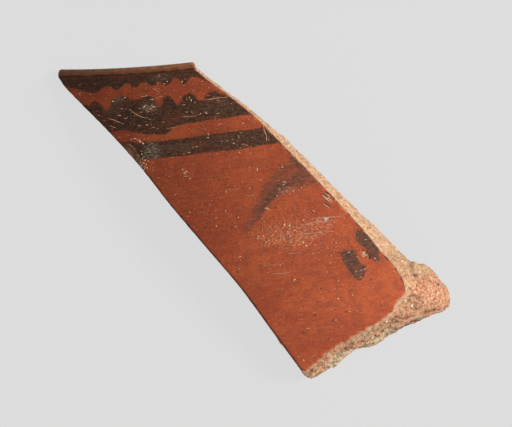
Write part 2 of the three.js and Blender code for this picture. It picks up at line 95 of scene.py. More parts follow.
# About how long the painted face is, how wide it is at the rim, and how long the way over the lip is
FACE_LENGTH = 95
FACE_WIDTH = 40
LIP_RUN = 4

# Shares of each side's length, with shares of its bow there
LEFT_BREAK = [
    (0, 0), (0.03, 0.04), (0.1, 0.36), (0.2, 0.76), (0.32, 1), (0.45, 0.96),
    (0.58, 0.93), (0.73, 0.8), (0.87, 0.4), (1, 0),
]
RIGHT_BREAK = [
    (0, 0), (0.05, 0.17), (0.13, 0.52), (0.24, 0.86), (0.36, 0.95), (0.48, 1), (0.62, 0.97),
    (0.7, 0.93), (0.79, 0.81), (0.84, 0.71), (0.9, 0.65), (0.96, 0.42), (1, 0),
]
BOTTOM_BREAK = [
    (0, 0), (0.05, -0.18), (0.17, -0.05), (0.3, 0.07), (0.44, -0.21), (0.57, -0.62),
    (0.68, -0.89), (0.82, -0.98), (0.87, -0.35), (1, 0),
]
INNER_RIGHT_BREAK = [
    (0, 0), (0.08, 0.3), (0.14, 0.5), (0.2, 0.75), (0.33, 1), (0.41, 0.95), (0.5, 0.78), (0.62, 0.6),
    (0.7, 0.45), (0.78, 0.28), (0.83, 0.22), (0.87, 0.9), (0.95, 0.75), (0.975, 0.6), (1, 0),
]
INNER_BOTTOM_BREAK = [
    (0, 0), (0.12, 0.29), (0.2, 0.47), (0.265, 0.86), (0.335, 1), (0.45, 0.35),
    (0.53, 0.68), (0.63, 0.57), (0.8, -0.1), (0.91, -0.78), (0.97, -0.7), (1, 0),
]

# The scalloped band's solid, whose box gives the sherd's place: shares of its way across and of its height
SCALLOP_UPPER = [
    (0, 0.18), (0.11, 0.11), (0.18, 0.32), (0.29, 0), (0.36, 0.06), (0.48, 0.01), (0.54, 0.28),
    (0.6, 0.07), (0.67, 0.27), (0.765, 0.02), (0.825, 0.28), (0.905, 0.06), (1, 0.21),
]
SCALLOP_LOWER = [
    (0, 0.65), (0.05, 0.88), (0.21, 0.96), (0.37, 1.03), (0.43, 0.98), (0.51, 0.84),
    (0.61, 0.79), (0.8, 0.76), (1, 0.75),
]

# The broken surface's bumps: share of their height, turns per pitch along arc, depth and wall, and phase
BUMPS = [(0.5, (1, 0.7, 0.9), 0.15), (0.3, (-1.7, 2.1, 1.6), 0.6), (0.2, (3.3, 2.7, -3.1), 0.35)]


# Curves, sides and the wall

def smooth_step(x, low, high):
    """From 0 at low to 1 at high, which may be the lesser, level at both ends: 3t squared less 2t cubed."""
    t = np.clip((x - low) / (high - low), 0, 1)
    return t * t * (3 - 2 * t)


def blend(a, b, share):
    """The mean of a and b, share of the way from a to b."""
    return a + (b - a) * share


def curve_through(table, x):
    """A smooth curve through a table's points: cubic steps whose slopes are those between the neighbours."""
    knots, heights = np.array(table, float).T
    order = np.arange(len(knots))
    before = np.maximum(order - 1, 0)
    after = np.minimum(order + 1, len(knots) - 1)
    slopes = (heights[after] - heights[before]) / (knots[after] - knots[before])
    k = np.clip(np.searchsorted(knots, x) - 1, 0, len(knots) - 2)
    span = knots[k + 1] - knots[k]
    t = (x - knots[k]) / span
    rise = heights[k + 1] - heights[k]
    start_pull = slopes[k] * span - rise
    end_pull = rise - slopes[k + 1] * span
    return heights[k] + rise * t + t * (1 - t) * (start_pull * (1 - t) + end_pull * t)


def side(start, end, bow, table):
    """A side of the sherd: straight from start to end, and bowed to the left of that way by its table."""
    chord = np.subtract(end, start)
    across = np.array([chord[1], -chord[0]]) / np.hypot(*chord)

    def at(share):
        share = np.asarray(share, float)[..., None]
        return start + chord * share + across * bow * curve_through(table, share)
    return at


def face(left, right, bottom):
    """A face between its left, right and bottom sides and the straight rim: the sides are blended across, and
    the bottom's bow is added in proportion to the way down."""
    def at(u, v):
        u, v = np.broadcast_arrays(np.asarray(u, float)[..., None], np.asarray(v, float)[..., None])
        between = blend(left(v[..., 0]), right(v[..., 0]), u)
        straight = blend(left(1), right(1), u)
        return between + (bottom(u[..., 0]) - straight) * v
    return at


left_side = side(RIM_LEFT, TIP, 4.6, LEFT_BREAK)
right_side = side(RIM_RIGHT, SHOULDER, 4.3, RIGHT_BREAK)
painted_face = face(left_side, right_side, side(TIP, SHOULDER, 1.5, BOTTOM_BREAK))
inner_face = face(
    side(INNER_RIM_LEFT, INNER_TIP, 5.8, LEFT_BREAK),
    side(INNER_RIM_RIGHT, HEEL, 2.6, INNER_RIGHT_BREAK),
    side(INNER_TIP, HEEL, 2, INNER_BOTTOM_BREAK),
)
MIDDLE = painted_face(0.5, 0.5)


def outer_radius(depth):
    """The outer face's radius: the rim's, plus the lean's spread, less a parabola for the slow bulge."""
    below = depth - LIP_HEIGHT
    return RIM_RADIUS + math.tan(WALL_LEAN) * below - below ** 2 / (2 * PROFILE_RADIUS)


def thickness(place):
    """The lip's thickness growing exponentially into the wall's, plus the heel's rise near the heel."""
    grown = 1 - np.exp(-(place[..., 1] - LIP_HEIGHT) / WALL_GROWTH_DEPTH)
    near = 1 - smooth_step(np.linalg.norm(place - HEEL, axis=-1), 0, HEEL_REACH)
    return blend(LIP_THICKNESS, WALL_THICKNESS, grown) + HEEL_RISE * near


def on_wall(place, below=0.0, lift=0.0):
    """A point round the bowl's axis at a place, below the outer face by the first and lifted off it, along
    the profile's normal, by the second."""
    angle = (place[..., 0] - MIDDLE[0]) / RIM_RADIUS
    depth = place[..., 1]
    slope = math.tan(WALL_LEAN) - (depth - LIP_HEIGHT) / PROFILE_RADIUS
    length = np.hypot(1, slope)
    radius = outer_radius(depth) - below + lift / length
    height = MIDDLE[1] - depth + lift * slope / length
    return np.stack([radius * np.sin(angle), height, radius * np.cos(angle)], -1)


def bump(place, below):
    """The bumps of a broken surface: a sum of slanting sine waves."""
    total = 0
    for rise, turns, phase in BUMPS:
        run = (turns[0] * place[..., 0] + turns[1] * place[..., 1] + turns[2] * below) / BREAK_PITCH
        total = total + rise * np.sin(2 * np.pi * (run + phase))
    return total


def swept(u, v, w):
    """The place on the wall of a point of the sherd, before the bumps of its breaks: its share of the way
    from the painted face's place to the inner face's is 1 less a power of 1 - w."""
    return blend(painted_face(u, v), inner_face(u, v), (1 - (1 - w) ** BREAK_SWEEP)[..., None])


def wall_point(u, v, w):
    """A point of the sherd: u across, v down, w through the wall from the painted face. The lip, at v = 0, is
    half an ellipse, and a break is swept from the one face to the other, with bumps between its edges."""
    u, v, w = np.broadcast_arrays(*(np.asarray(a, float) for a in (u, v, w)))
    place = swept(u, v, w)
    full = thickness(inner_face(u, v))
    on_lip = v == 0
    broken = ~on_lip & ((u == 0) | (u == 1) | (v == 1))
    outwards = place - MIDDLE
    outwards /= np.maximum(np.linalg.norm(outwards, axis=-1, keepdims=True), 1e-9)
    reach = BREAK_BUMP_HEIGHT * np.sin(np.pi * w) * bump(place, w * full) * broken
    place = place + outwards * reach[..., None]
    place[..., 1] = np.where(on_lip, LIP_HEIGHT * (1 - np.sin(np.pi * w)), place[..., 1])
    below = np.where(on_lip, full * (1 - np.cos(np.pi * w)) / 2, w * full)
    return on_wall(place, below)


# The rest: the inner corners at the rim's left, the tip and the heel stand level, worn down by the wear.

feet = [wall_point(0, 0, 1), wall_point(0, 1, 1), wall_point(1, 1, 1)]
UP = np.cross(feet[1] - feet[0], feet[2] - feet[0])
UP /= np.linalg.norm(UP)
RIMWARDS = np.array([0, 1, 0]) - UP[1] * UP
RIMWARDS /= np.linalg.norm(RIMWARDS)
REST = np.array([np.cross(RIMWARDS, UP), RIMWARDS, UP])
SHIFT = np.array([0, 0, -FOOT_WEAR - (REST @ feet[0])[2]])


def arc_at_depth(line, depth):
    """The arc at which a side passes each depth, read off along it in two thousand steps."""
    trace = line(np.linspace(0, 1, 2001))
    return np.interp(depth, trace[:, 1], trace[:, 0])


def band_edge(band, table):
    """A band's edge from break to break: its depth follows the table, and its ends stop at the inset."""
    def at(share):
        share = np.asarray(share, float)
        depth = band[0] + band[1] * curve_through(table, share)
        start = arc_at_depth(left_side, depth) + EDGE_INSET
        stop = arc_at_depth(right_side, depth) - EDGE_INSET
        return np.stack([blend(start, stop, share), depth], -1)
    return at


def between(upper, lower, shares, parts):
    """Places over a patch: shares along its two lines, and parts of the way from the upper to the lower."""
    return blend(upper(shares)[:, None], lower(shares)[:, None], parts[None, :, None])


def normals_on(grid):
    """Outward unit normals of a grid of points that runs across and down: the two steps' cross product."""
    across = np.gradient(grid, axis=0)
    down = np.gradient(grid, axis=1)
    normal = np.cross(down, across)
    return normal / np.maximum(np.linalg.norm(normal, axis=-1, keepdims=True), 1e-12)


# The sherd's place in the frame: the scalloped band's solid, worked out as in the CAD, meets its node's box

scallop_lines = (band_edge(SCALLOPED_BAND, SCALLOP_UPPER), band_edge(SCALLOPED_BAND, SCALLOP_LOWER))
coarse = on_wall(between(*scallop_lines, *(np.linspace(0, 1, points) for points in SCALLOPED_BAND_POINTS)))
coarse_normals = normals_on(coarse)
low_lift = SLIP_TOP + COAT_GAP
corners = np.concatenate([coarse + coarse_normals * lift for lift in (low_lift, low_lift + PAINT_THICKNESS)])
corners = corners.reshape(-1, 3) @ REST.T
SHIFT[:2] = np.array(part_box("scalloped_band")[0])[:2] / MM - corners[:, :2].min(0)


def to_rest(points):
    """Points turned and moved from round the bowl's axis to the sherd's rest, in millimetres."""
    return points @ REST.T + SHIFT


# The photograph's view: the bowl's axes as the camera sees them, the scale, and the bowl's middle

VIEW_TILT = math.radians(15.5)
VIEW_ROLL = math.radians(10)
PIXEL = 0.248
FRAME_WIDTH, FRAME_HEIGHT = 512, 427
BOWL_AT = np.array([5.1886, 66.5543, 0])
SIDE_AXIS = np.array([math.cos(VIEW_ROLL), math.sin(VIEW_ROLL), 0])
FALL_AXIS = np.array([-math.sin(VIEW_ROLL), math.cos(VIEW_ROLL), 0])
OUT_AXIS = np.array([0, 0, math.cos(VIEW_TILT)]) - FALL_AXIS * math.sin(VIEW_TILT)
RISE_AXIS = np.array([0, 0, math.sin(VIEW_TILT)]) + FALL_AXIS * math.cos(VIEW_TILT)
VIEW_ARC = 63.5
PLACE_ROUNDS = 30
VIEW_TURN = (MIDDLE[0] - VIEW_ARC) / RIM_RADIUS
BOWL_TO_VIEW = np.stack([
    SIDE_AXIS * math.cos(VIEW_TURN) - OUT_AXIS * math.sin(VIEW_TURN),
    RISE_AXIS,
    SIDE_AXIS * math.sin(VIEW_TURN) + OUT_AXIS * math.cos(VIEW_TURN),
], 1)


def place_at(pixels):
    """The places on the wall that show at the photograph's pixels: the arc follows from how far to the side
    of the bowl's middle a pixel is and the depth from how far down, repeated until the radius settles."""
    pixels = np.asarray(pixels, float)
    across = (pixels[..., 0] - FRAME_WIDTH / 2) * PIXEL - BOWL_AT[0]
    rise = (FRAME_HEIGHT / 2 - pixels[..., 1]) * PIXEL - BOWL_AT[1]
    sideways = across * SIDE_AXIS[0] + rise * SIDE_AXIS[1]
    fall = across * FALL_AXIS[0] + rise * FALL_AXIS[1]
    depth = np.zeros_like(across)
    for _ in range(PLACE_ROUNDS):
        radius = outer_radius(depth) + SLIP_TOP
        angle = np.arcsin(np.clip(sideways / radius, -1, 1))
        depth = -(fall + math.sin(VIEW_TILT) * radius * np.cos(angle)) / math.cos(VIEW_TILT)
    return np.stack([VIEW_ARC + RIM_RADIUS * angle, depth], -1)


def pixels_of(points):
    """The photograph's pixels at which points round the bowl's axis show, seen from far away."""
    seen = points @ BOWL_TO_VIEW.T + BOWL_AT - RISE_AXIS * MIDDLE[1]
    return np.stack([FRAME_WIDTH / 2 + seen[..., 0] / PIXEL, FRAME_HEIGHT / 2 - seen[..., 1] / PIXEL], -1)


# Noise

HASH_STEPS = np.array([73856093, 19349663, 83492791])
HASH_TURNS = (1103515245, 1597334677)
HASH_TOP = 0x7FFFFFFF
SEED_STEP = 7919
OCTAVE_SHIFT = 17.3


def hashed(cells, seed):
    """A share from 0 to 1 for each whole-number cell, the same in every run: its numbers are multiplied,
    folded and cut to 31 bits twice."""
    key = (cells.astype(np.int64) @ HASH_STEPS + seed * SEED_STEP) & HASH_TOP
    for turn in HASH_TURNS:
        key = ((key ^ (key >> 15)) * turn) & HASH_TOP
    return (key ^ (key >> 13)) / HASH_TOP


def noise(points, size, seed, octaves=1):
    """Smooth noise from about -1 to 1: hashed shares at the corners of cells of that size, blended across
    each cell, and again at half the size and strength for every further octave."""
    total, strength = 0, 1
    for octave in range(octaves):
        spots = points / (size / 2 ** octave) + OCTAVE_SHIFT * octave
        cell = np.floor(spots)
        t = spots - cell
        t = t * t * (3 - 2 * t)
        level = 0
        for corner in np.ndindex(2, 2, 2):
            part = np.prod(np.where(corner, t, 1 - t), -1)
            level = level + part * hashed(cell + corner, seed + octave)
        total = total + strength * (2 * level - 1)
        strength /= 2
    return total


def flat_noise(places, sizes, seed, octaves=1):
    """Noise over places on the wall, its cells as long along the arc and down as the sizes say."""
    spots = np.concatenate([places / np.asarray(sizes, float), np.zeros(places.shape[:-1] + (1,))], -1)
    return noise(spots, 1, seed, octaves)


def run_noise(run, size, seed, octaves):
    """Noise along one length, its cells of that size."""
    return flat_noise(np.stack([run, np.zeros_like(run)], -1), (size, 1), seed, octaves)


def ripple(place):
    """How uneven the burnished face is, in millimetres: slow swellings and low ridges along the strokes."""
    turned = place @ np.array([[1, -0.06], [0.06, 1]])
    return 0.035 * flat_noise(place, (11, 9), 5) + 0.014 * flat_noise(turned, (13, 1.5), 6, 2)


# Where the face is scuffed most, and where a grey haze lies on the bands. As photograph pixels: the middle,
# half width, half height and strength
SCUFFS = [
    (292, 233, 50, 27, 0.74), (325, 222, 24, 8, 0.4), (312, 233, 36, 5, 0.25), (158, 92, 6, 14, 0.7),
    (150, 108, 12, 7, 0.25), (187, 174, 8, 8, 0.6), (220, 100, 26, 5, 0.5), (330, 250, 30, 12, 0.4),
    (152, 166, 9, 7, 0.45), (138, 96, 16, 5, 0.3), (288, 191, 17, 5, 0.5), (139, 139.5, 8, 3, 0.55),
]
HAZES = [
    (117, 99.5, 13, 4, 0.6), (149, 107.5, 13, 7, 0.65), (152, 152, 11, 13, 1), (176, 148, 26, 7, 0.18),
    (225, 141, 26, 6, 0.06), (112, 109, 14, 7, 0.3), (160, 78, 16, 5, 0.35), (218, 108, 26, 8, 0.1),
]


def ovals_at(place, ovals):
    """The sum of soft ovals at a place: each is full near its middle and gone just beyond its rim."""
    total = 0
    for x, y, half_width, half_height, strength in ovals:
        away = place - place_at((x, y))
        out = np.hypot(away[..., 0] / (half_width * PIXEL), away[..., 1] / (half_height * PIXEL))
        total = total + strength * (1 - smooth_step(out, 0.3, 1.1))
    return total


def scuff_at(place):
    """How scuffed the face is at a place, from 0 to 1: soft ovals, a slow unevenness and a low base."""
    return np.clip(0.22 + 0.15 * flat_noise(place, (9, 5), 61, 2) + ovals_at(place, SCUFFS), 0, 1)


# Meshes

def shell_of(across, down, inwards):
    """The surface of a closed block over a grid: the steps of its points, one row each, and its faces with
    their fronts outwards."""
    shell = np.ones((across + 1, down + 1, inwards + 1), bool)
    shell[1:-1, 1:-1, 1:-1] = False
    numbers = np.cumsum(shell).reshape(shell.shape) - 1
    sheets = [
        numbers[:, :, 0].T, numbers[:, :, -1], numbers[:, 0, :],
        numbers[:, -1, :].T, numbers[0, :, :].T, numbers[-1, :, :],
    ]
    quads = [np.stack([s[:-1, :-1], s[1:, :-1], s[1:, 1:], s[:-1, 1:]], -1).reshape(-1, 4) for s in sheets]
    return np.argwhere(shell), np.concatenate(quads)


def point_normals(points, faces):
    """Outward unit normals of a mesh's points: the sum of the faces round each, by their areas."""
    corners = points[faces]
    across = np.cross(corners[:, 2] - corners[:, 0], corners[:, -1] - corners[:, 1])
    total = np.zeros_like(points)
    for axis in range(3):
        for corner in range(faces.shape[1]):
            total[:, axis] += np.bincount(faces[:, corner], across[:, axis], len(points))
    return total / np.linalg.norm(total, axis=1, keepdims=True)


def show(name, data):
    """An object of the data, linked to the scene."""
    made = bpy.data.objects.new(name, data)
    bpy.context.scene.collection.objects.link(made)
    return made


def make_piece(name, nodes, points, faces, material, places=None, floats=None):
    """A smooth mesh of points in millimetres at rest. Its faces are one array or several. Its places are the
    map "wall", in tenths of a metre, and its further values are attributes. It rides on the root and stands
    for the CAD nodes named."""
    sets = faces if isinstance(faces, list) else [faces]
    mesh = bpy.data.meshes.new(name)
    mesh.from_pydata((points * MM).tolist(), [], [face for part in sets for face in part.tolist()])
    mesh.polygons.foreach_set("use_smooth", np.ones(len(mesh.polygons), bool))
    if places is not None:
        loops = np.concatenate([part.ravel() for part in sets])
        layer = mesh.uv_layers.new(name="wall")
        layer.data.foreach_set("uv", (places[loops] / MAP_UNIT).astype(np.float32).ravel())
    for label, values in (floats or {}).items():
        mesh.attributes.new(label, "FLOAT", "POINT").data.foreach_set("value", values.astype(np.float32))
    mesh.update()
    mesh.materials.append(material)
    piece = show(name, mesh)
    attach(piece, "root")
    if nodes:
        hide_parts(*nodes)


def lifted(grid, i, j, upper, top, under):
    """Points at rest, lifted along the normals off a grid of points round the bowl's axis: by top where they
    belong to the upper face, and by under elsewhere."""
    lifts = (np.broadcast_to(lift, grid.shape[:2])[i, j] for lift in (top, under))
    return to_rest(grid[i, j] + normals_on(grid)[i, j] * np.where(upper, *lifts)[:, None])


def coat(grid, top, under):
    """A closed coat over a whole grid: an upper face, a lower face and a wall round them. It gives the points
    at rest, the faces, and each point's step across and down."""
    steps, faces = shell_of(grid.shape[0] - 1, grid.shape[1] - 1, 1)
    i, j, k = steps.T
    return lifted(grid, i, j, k == 0, top, under), faces, (i, j)


def trimmed_coat(grid, top, under, keep):
    """A coat over the cells to keep alone: their upper and lower faces, and a wall along every side at which
    a kept cell has no kept neighbour. It gives the same three things as coat does."""
    upper = np.arange(grid.shape[0] * grid.shape[1]).reshape(grid.shape[:2])
    lower = upper + upper.size

    def corner(sheet, across, down):
        """What the sheet holds that many steps across and down from each cell's first corner."""
        return sheet[across:across + keep.shape[0], down:down + keep.shape[1]]

    def quads(corners, shown):
        """A face at each cell shown, its corners given as a sheet and two steps."""
        return np.stack([corner(*at) for at in corners], -1)[shown]

    ring = ((0, 0), (0, 1), (1, 1), (1, 0))
    faces = [
        quads([(upper, *at) for at in ring], keep),
        quads([(lower, *ring[n]) for n in (0, 3, 2, 1)], keep),
    ]
    for neighbour, start, end in (
        ((0, 1), (0, 1), (0, 0)), ((2, 1), (1, 0), (1, 1)),
        ((1, 0), (0, 0), (1, 0)), ((1, 2), (1, 1), (0, 1)),
    ):
        bare = keep & ~corner(np.pad(keep, 1), *neighbour)
        faces.append(quads([(upper, *start), (upper, *end), (lower, *end), (lower, *start)], bare))
    used, faces = np.unique(np.concatenate(faces), return_inverse=True)
    k, flat = np.divmod(used, upper.size)
    i, j = np.unravel_index(flat, grid.shape[:2])
    return lifted(grid, i, j, k == 0, top, under), faces.reshape(-1, 4), (i, j)


def corners_of(values):
    """The values at the four corners of each cell of a grid of points."""
    return values[:-1, :-1], values[1:, :-1], values[:-1, 1:], values[1:, 1:]


# Outlines drawn by the photograph's pixels, each span in a few straight parts

OUTLINE_PARTS = 8


def smooth_outline(pixels):
    """A closed smooth line through photograph pixels, as places on the wall: cubics whose slope at a point is
    half the step between its neighbours."""
    at = place_at(pixels)
    before, after, later = (np.roll(at, shift, 0) for shift in (1, -1, -2))
    t = np.linspace(0, 1, OUTLINE_PARTS, endpoint=False)[:, None, None]
    line = 2 * at + (after - before) * t + (2 * before - 5 * at + 4 * after - later) * t ** 2
    line = (line + (3 * at - before - 3 * after + later) * t ** 3) / 2
    return line.transpose(1, 0, 2).reshape(-1, 2)


def distance_to(place, start, end):
    """The distance from each place to the nearest of a line's straight parts."""
    run = end - start
    share = np.clip(((place[:, None] - start) * run).sum(-1) / (run ** 2).sum(-1), 0, 1)
    return np.linalg.norm(place[:, None] - start - run * share[..., None], axis=-1).min(1)


# Places are measured against an outline in a dozen lots, which saves memory.
LOTS = 12


def distance_inside(places, outline):
    """How far each place lies inside a closed outline, below 0 outside it: the distance to its nearest part,
    its sign from how often a line towards higher arcs crosses the outline."""
    start, end = outline, np.roll(outline, -1, 0)
    found = []
    for place in np.array_split(places.reshape(-1, 2), LOTS):
        crosses = (start[:, 1] > place[:, None, 1]) != (end[:, 1] > place[:, None, 1])
        rise = np.where(end[:, 1] == start[:, 1], 1, end[:, 1] - start[:, 1])
        arc = start[:, 0] + (end[:, 0] - start[:, 0]) * (place[:, None, 1] - start[:, 1]) / rise
        odd = (crosses & (place[:, None, 0] < arc)).sum(1) % 2 == 1
        found.append(np.where(odd, 1, -1) * distance_to(place, start, end))
    return np.concatenate(found).reshape(places.shape[:-1])


def near_line(places, pixels, width):
    """From 1 on an open line through photograph pixels to 0 a few widths away: the bell curve."""
    line = place_at(pixels)
    away = distance_to(places.reshape(-1, 2), line[:-1], line[1:]).reshape(places.shape[:-1])
    return np.exp(-(away / width) ** 2)


# Materials: a small kit for node trees, the groups that the finishes share, and the finishes

class Tree:
    """Nodes and links of a material's or a group's tree."""

    def __init__(self, tree):
        self.tree = tree

    def node(self, kind, inputs=None, **settings):
        """A node of a kind. An input that is a socket is linked, and any other is the input's value."""
        made = self.tree.nodes.new(kind)
        for key, value in settings.items():
            setattr(made, key, value)
        for key, value in (inputs or {}).items():
            if isinstance(value, bpy.types.NodeSocket):
                self.tree.links.new(value, made.inputs[key])
            else:
                made.inputs[key].default_value = value
        return made

    def math(self, operation, *values):
        """A Math node's result."""
        return self.node("ShaderNodeMath", dict(enumerate(values)), operation=operation).outputs[0]

    def plus(self, first, second):
        """The sum of two values."""
        return self.math("ADD", first, second)

    def less(self, first, second):
        """The first value less the second."""
        return self.math("SUBTRACT", first, second)

    def times(self, first, *others):
        """The product of all the values."""
        for other in others:
            first = self.math("MULTIPLY", first, other)
        return first

    def step(self, value, low, high, start=0.0, end=1.0):
        """A smooth step from start at low to end at high."""
        inputs = {"Value": value, "From Min": low, "From Max": high, "To Min": start, "To Max": end}
        return self.node("ShaderNodeMapRange", inputs, interpolation_type="SMOOTHSTEP").outputs["Result"]

    def mix(self, share, first, second):
        """The second colour over the first, by a share."""
        inputs = {0: share, 6: rgba(first), 7: rgba(second)}
        return self.node("ShaderNodeMix", inputs, data_type="RGBA").outputs[2]

    def over(self, color, hue, *shares):
        """A hue over a colour, by the product of the shares."""
        return self.mix(self.times(*shares), color, hue)

    def tinted(self, color, *tints):
        """A colour with hues over it, each by its value's smooth step."""
        for value, steps, hue in tints:
            color = self.mix(self.step(value, *steps), color, hue)
        return color

    def mapped(self, vector, scale=(1, 1, 1), turn=0.0, move=0.0):
        """The vector scaled along its axes, then turned in the wall's plane and moved."""
        inputs = {"Vector": vector, "Scale": scale, "Rotation": (0, 0, turn), "Location": (move, move, move)}
        return self.node("ShaderNodeMapping", inputs).outputs[0]

    def noise(self, vector, scale=1.0, detail=2.0, roughness=0.5, move=None):
        """Noise from 0 to 1, its cells one over the scale in size. A move gives other noise of the kind."""
        vector = vector if move is None else self.mapped(vector, move=move)
        inputs = {"Vector": vector, "Scale": scale, "Detail": detail, "Roughness": roughness}
        return self.node("ShaderNodeTexNoise", inputs).outputs[0]

    def streaks(self, place, scale, turn=0.0, move=0.0, detail=3.0, roughness=0.5):
        """Noise over the wall's map, its cells one over the scale in size along the rim and downwards."""
        return self.noise(self.mapped(place, (*scale, 1), turn, move), 1.0, detail, roughness)

    def spots(self, vector, scale, radius, share):
        """Round spots in some of the cells: near a cell's point, where the cell's hue is under the share."""
        cells = self.node("ShaderNodeTexVoronoi", {"Vector": vector, "Scale": scale})
        hue = self.node("ShaderNodeSeparateColor", {"Color": cells.outputs["Color"]}).outputs[0]
        near = self.step(cells.outputs["Distance"], radius, radius * 0.55)
        return self.times(near, self.math("LESS_THAN", hue, share))

    def value(self, name):
        """A piece's own attribute."""
        return self.node("ShaderNodeAttribute", attribute_name=name).outputs["Fac"]

    def wall_map(self):
        """The place on the wall, in tenths of a metre."""
        return self.node("ShaderNodeUVMap", uv_map="wall").outputs[0]

    def spot(self):
        """The place in the sherd's own frame, in metres."""
        return self.node("ShaderNodeTexCoord").outputs["Object"]

    def shared(self, group, **inputs):
        """A shared group's outputs in this tree."""
        return self.node("ShaderNodeGroup", inputs, node_tree=group).outputs


def rgba(color):
    """A colour as four numbers; a socket stays as it is."""
    return color if isinstance(color, bpy.types.NodeSocket) else (*color, 1)


def make_group(name, inputs, outputs, build):
    """A node group with named inputs, each a kind and a value, and named outputs, wired by build."""
    made = bpy.data.node_groups.new(name, "ShaderNodeTree")
    for label, (kind, value) in inputs.items():
        socket = made.interface.new_socket(label, in_out="INPUT", socket_type=kind)
        socket.default_value = value
    for label, kind in outputs.items():
        made.interface.new_socket(label, in_out="OUTPUT", socket_type=kind)
    tree = Tree(made)
    found = build(tree, tree.node("NodeGroupInput").outputs)
    tree.node("NodeGroupOutput", found)
    return made


FLOAT, VECTOR, COLOR = "NodeSocketFloat", "NodeSocketVector", "NodeSocketColor"
ORIGIN = (VECTOR, (0, 0, 0))


def build_slip(tree, given):
    """Burnished red slip: mottling, strokes along the rim's direction, a fine grain, light scuffs, pale
    specks, dark specks sunk as small pits whose darkness is painted shade, and painted shade along its edges
    where they turn into the breaks."""
    place, scuff = given["Place"], given["Scuff"]
    slow, patchy = tree.streaks(place, (7, 9)), tree.streaks(place, (38, 45), 0, 3)
    strokes = tree.streaks(place, (16, 170), 0.02, 5, 3, 0.65)
    mottle = tree.streaks(place, (110, 150), 0, 11, 4, 0.7)
    grain = tree.streaks(place, (210, 420), 0.03, 6, 3, 0.7)
    color = tree.tinted(
        (0.335, 0.057, 0.020),
        (slow, (0.3, 0.7), (0.44, 0.087, 0.026)),
        (patchy, (0.38, 0.66, 0, 0.62), (0.255, 0.050, 0.022)),
        (strokes, (0.5, 0.72, 0, 0.35), (0.50, 0.12, 0.042)),
        (strokes, (0.46, 0.28, 0, 0.35), (0.21, 0.040, 0.018)),
        (mottle, (0.52, 0.68, 0, 0.55), (0.53, 0.115, 0.042)),
        (mottle, (0.47, 0.32, 0, 0.55), (0.22, 0.040, 0.017)),
        (grain, (0.52, 0.7, 0, 0.5), (0.58, 0.155, 0.062)),
        (grain, (0.47, 0.3, 0, 0.6), (0.15, 0.030, 0.014)),
    )
    fine = tree.streaks(place, (135, 400), 0.04, 9, 3, 0.75)
    scratch = tree.step(tree.less(fine, tree.less(0.73, tree.times(scuff, 0.22))), 0, 0.09)
    dots = tree.spots(tree.mapped(place, (1, 1.5, 1), move=0.2), 165, 0.3, tree.times(scuff, scuff, 0.5))
    scratch = tree.math("MAXIMUM", scratch, tree.times(dots, 0.9))
    color = tree.over(color, (0.72, 0.32, 0.185), scratch, 0.75)
    pale = tree.spots(place, 75, 0.13, 0.10)
    # The dark specks are small pits, sunk by the height below; their darkness is painted shade.
    dark = tree.spots(tree.mapped(place, move=0.37), 60, 0.13, 0.25)
    color = tree.over(color, (0.06, 0.025, 0.017), dark, 0.7)
    color = tree.over(color, (0.66, 0.38, 0.22), pale, 0.6)
    # Painted shade where the slip's edge turns into the side breaks.
    color = tree.over(color, (0.055, 0.017, 0.010), given["Edge"], 0.88)
    height = tree.plus(tree.times(strokes, 0.7), tree.times(fine, 0.5))
    height = tree.less(tree.less(height, tree.times(dark, 0.8)), tree.times(scratch, 0.3))
    rough = tree.plus(tree.step(strokes, 0.3, 0.75, 0.6, 0.74), tree.times(scuff, 0.12))
    return {"Color": color, "Roughness": rough, "Height": height}


slip_group = make_group(
    "burnished_slip",
    {"Place": ORIGIN, "Scuff": (FLOAT, 0.3), "Edge": (FLOAT, 0)},
    {"Color": COLOR, "Roughness": FLOAT, "Height": FLOAT},
    build_slip,
)


def build_cover(tree, given):
    """How much of a thin paint still covers: full inside its outline, ragged at it, and rubbed through in
    streaks along the rim's direction and in small flecks."""
    place = given["Place"]
    edge = tree.streaks(place, (110, 150), 0, 2, 3, 0.6)
    strayed = tree.plus(given["Inside"], tree.times(tree.less(edge, 0.5), given["Stray"]))
    outline = tree.step(strayed, -0.12, given["Fade"])
    streaks = tree.streaks(place, (26, 300), 0.03, 4, 3, 0.6)
    flecks = tree.streaks(place, (170, 420), 0.1, 7, 2, 0.65)
    worn = tree.math("MAXIMUM", tree.step(tree.plus(streaks, tree.times(given["Wear"], 0.3)), 0.72, 0.95),
                     tree.step(flecks, 0.57, 0.74))
    cover = tree.times(outline, tree.less(1.0, tree.times(worn, 0.7)))
    return {"Cover": cover, "Worn": worn, "Outline": outline}


cover_group = make_group(
    "paint_cover",
    {"Place": ORIGIN, "Inside": (FLOAT, 1), "Stray": (FLOAT, 0.9), "Fade": (FLOAT, 0.35),
     "Wear": (FLOAT, 0.3)},
    {"Cover": FLOAT, "Worn": FLOAT, "Outline": FLOAT},
    build_cover,
)


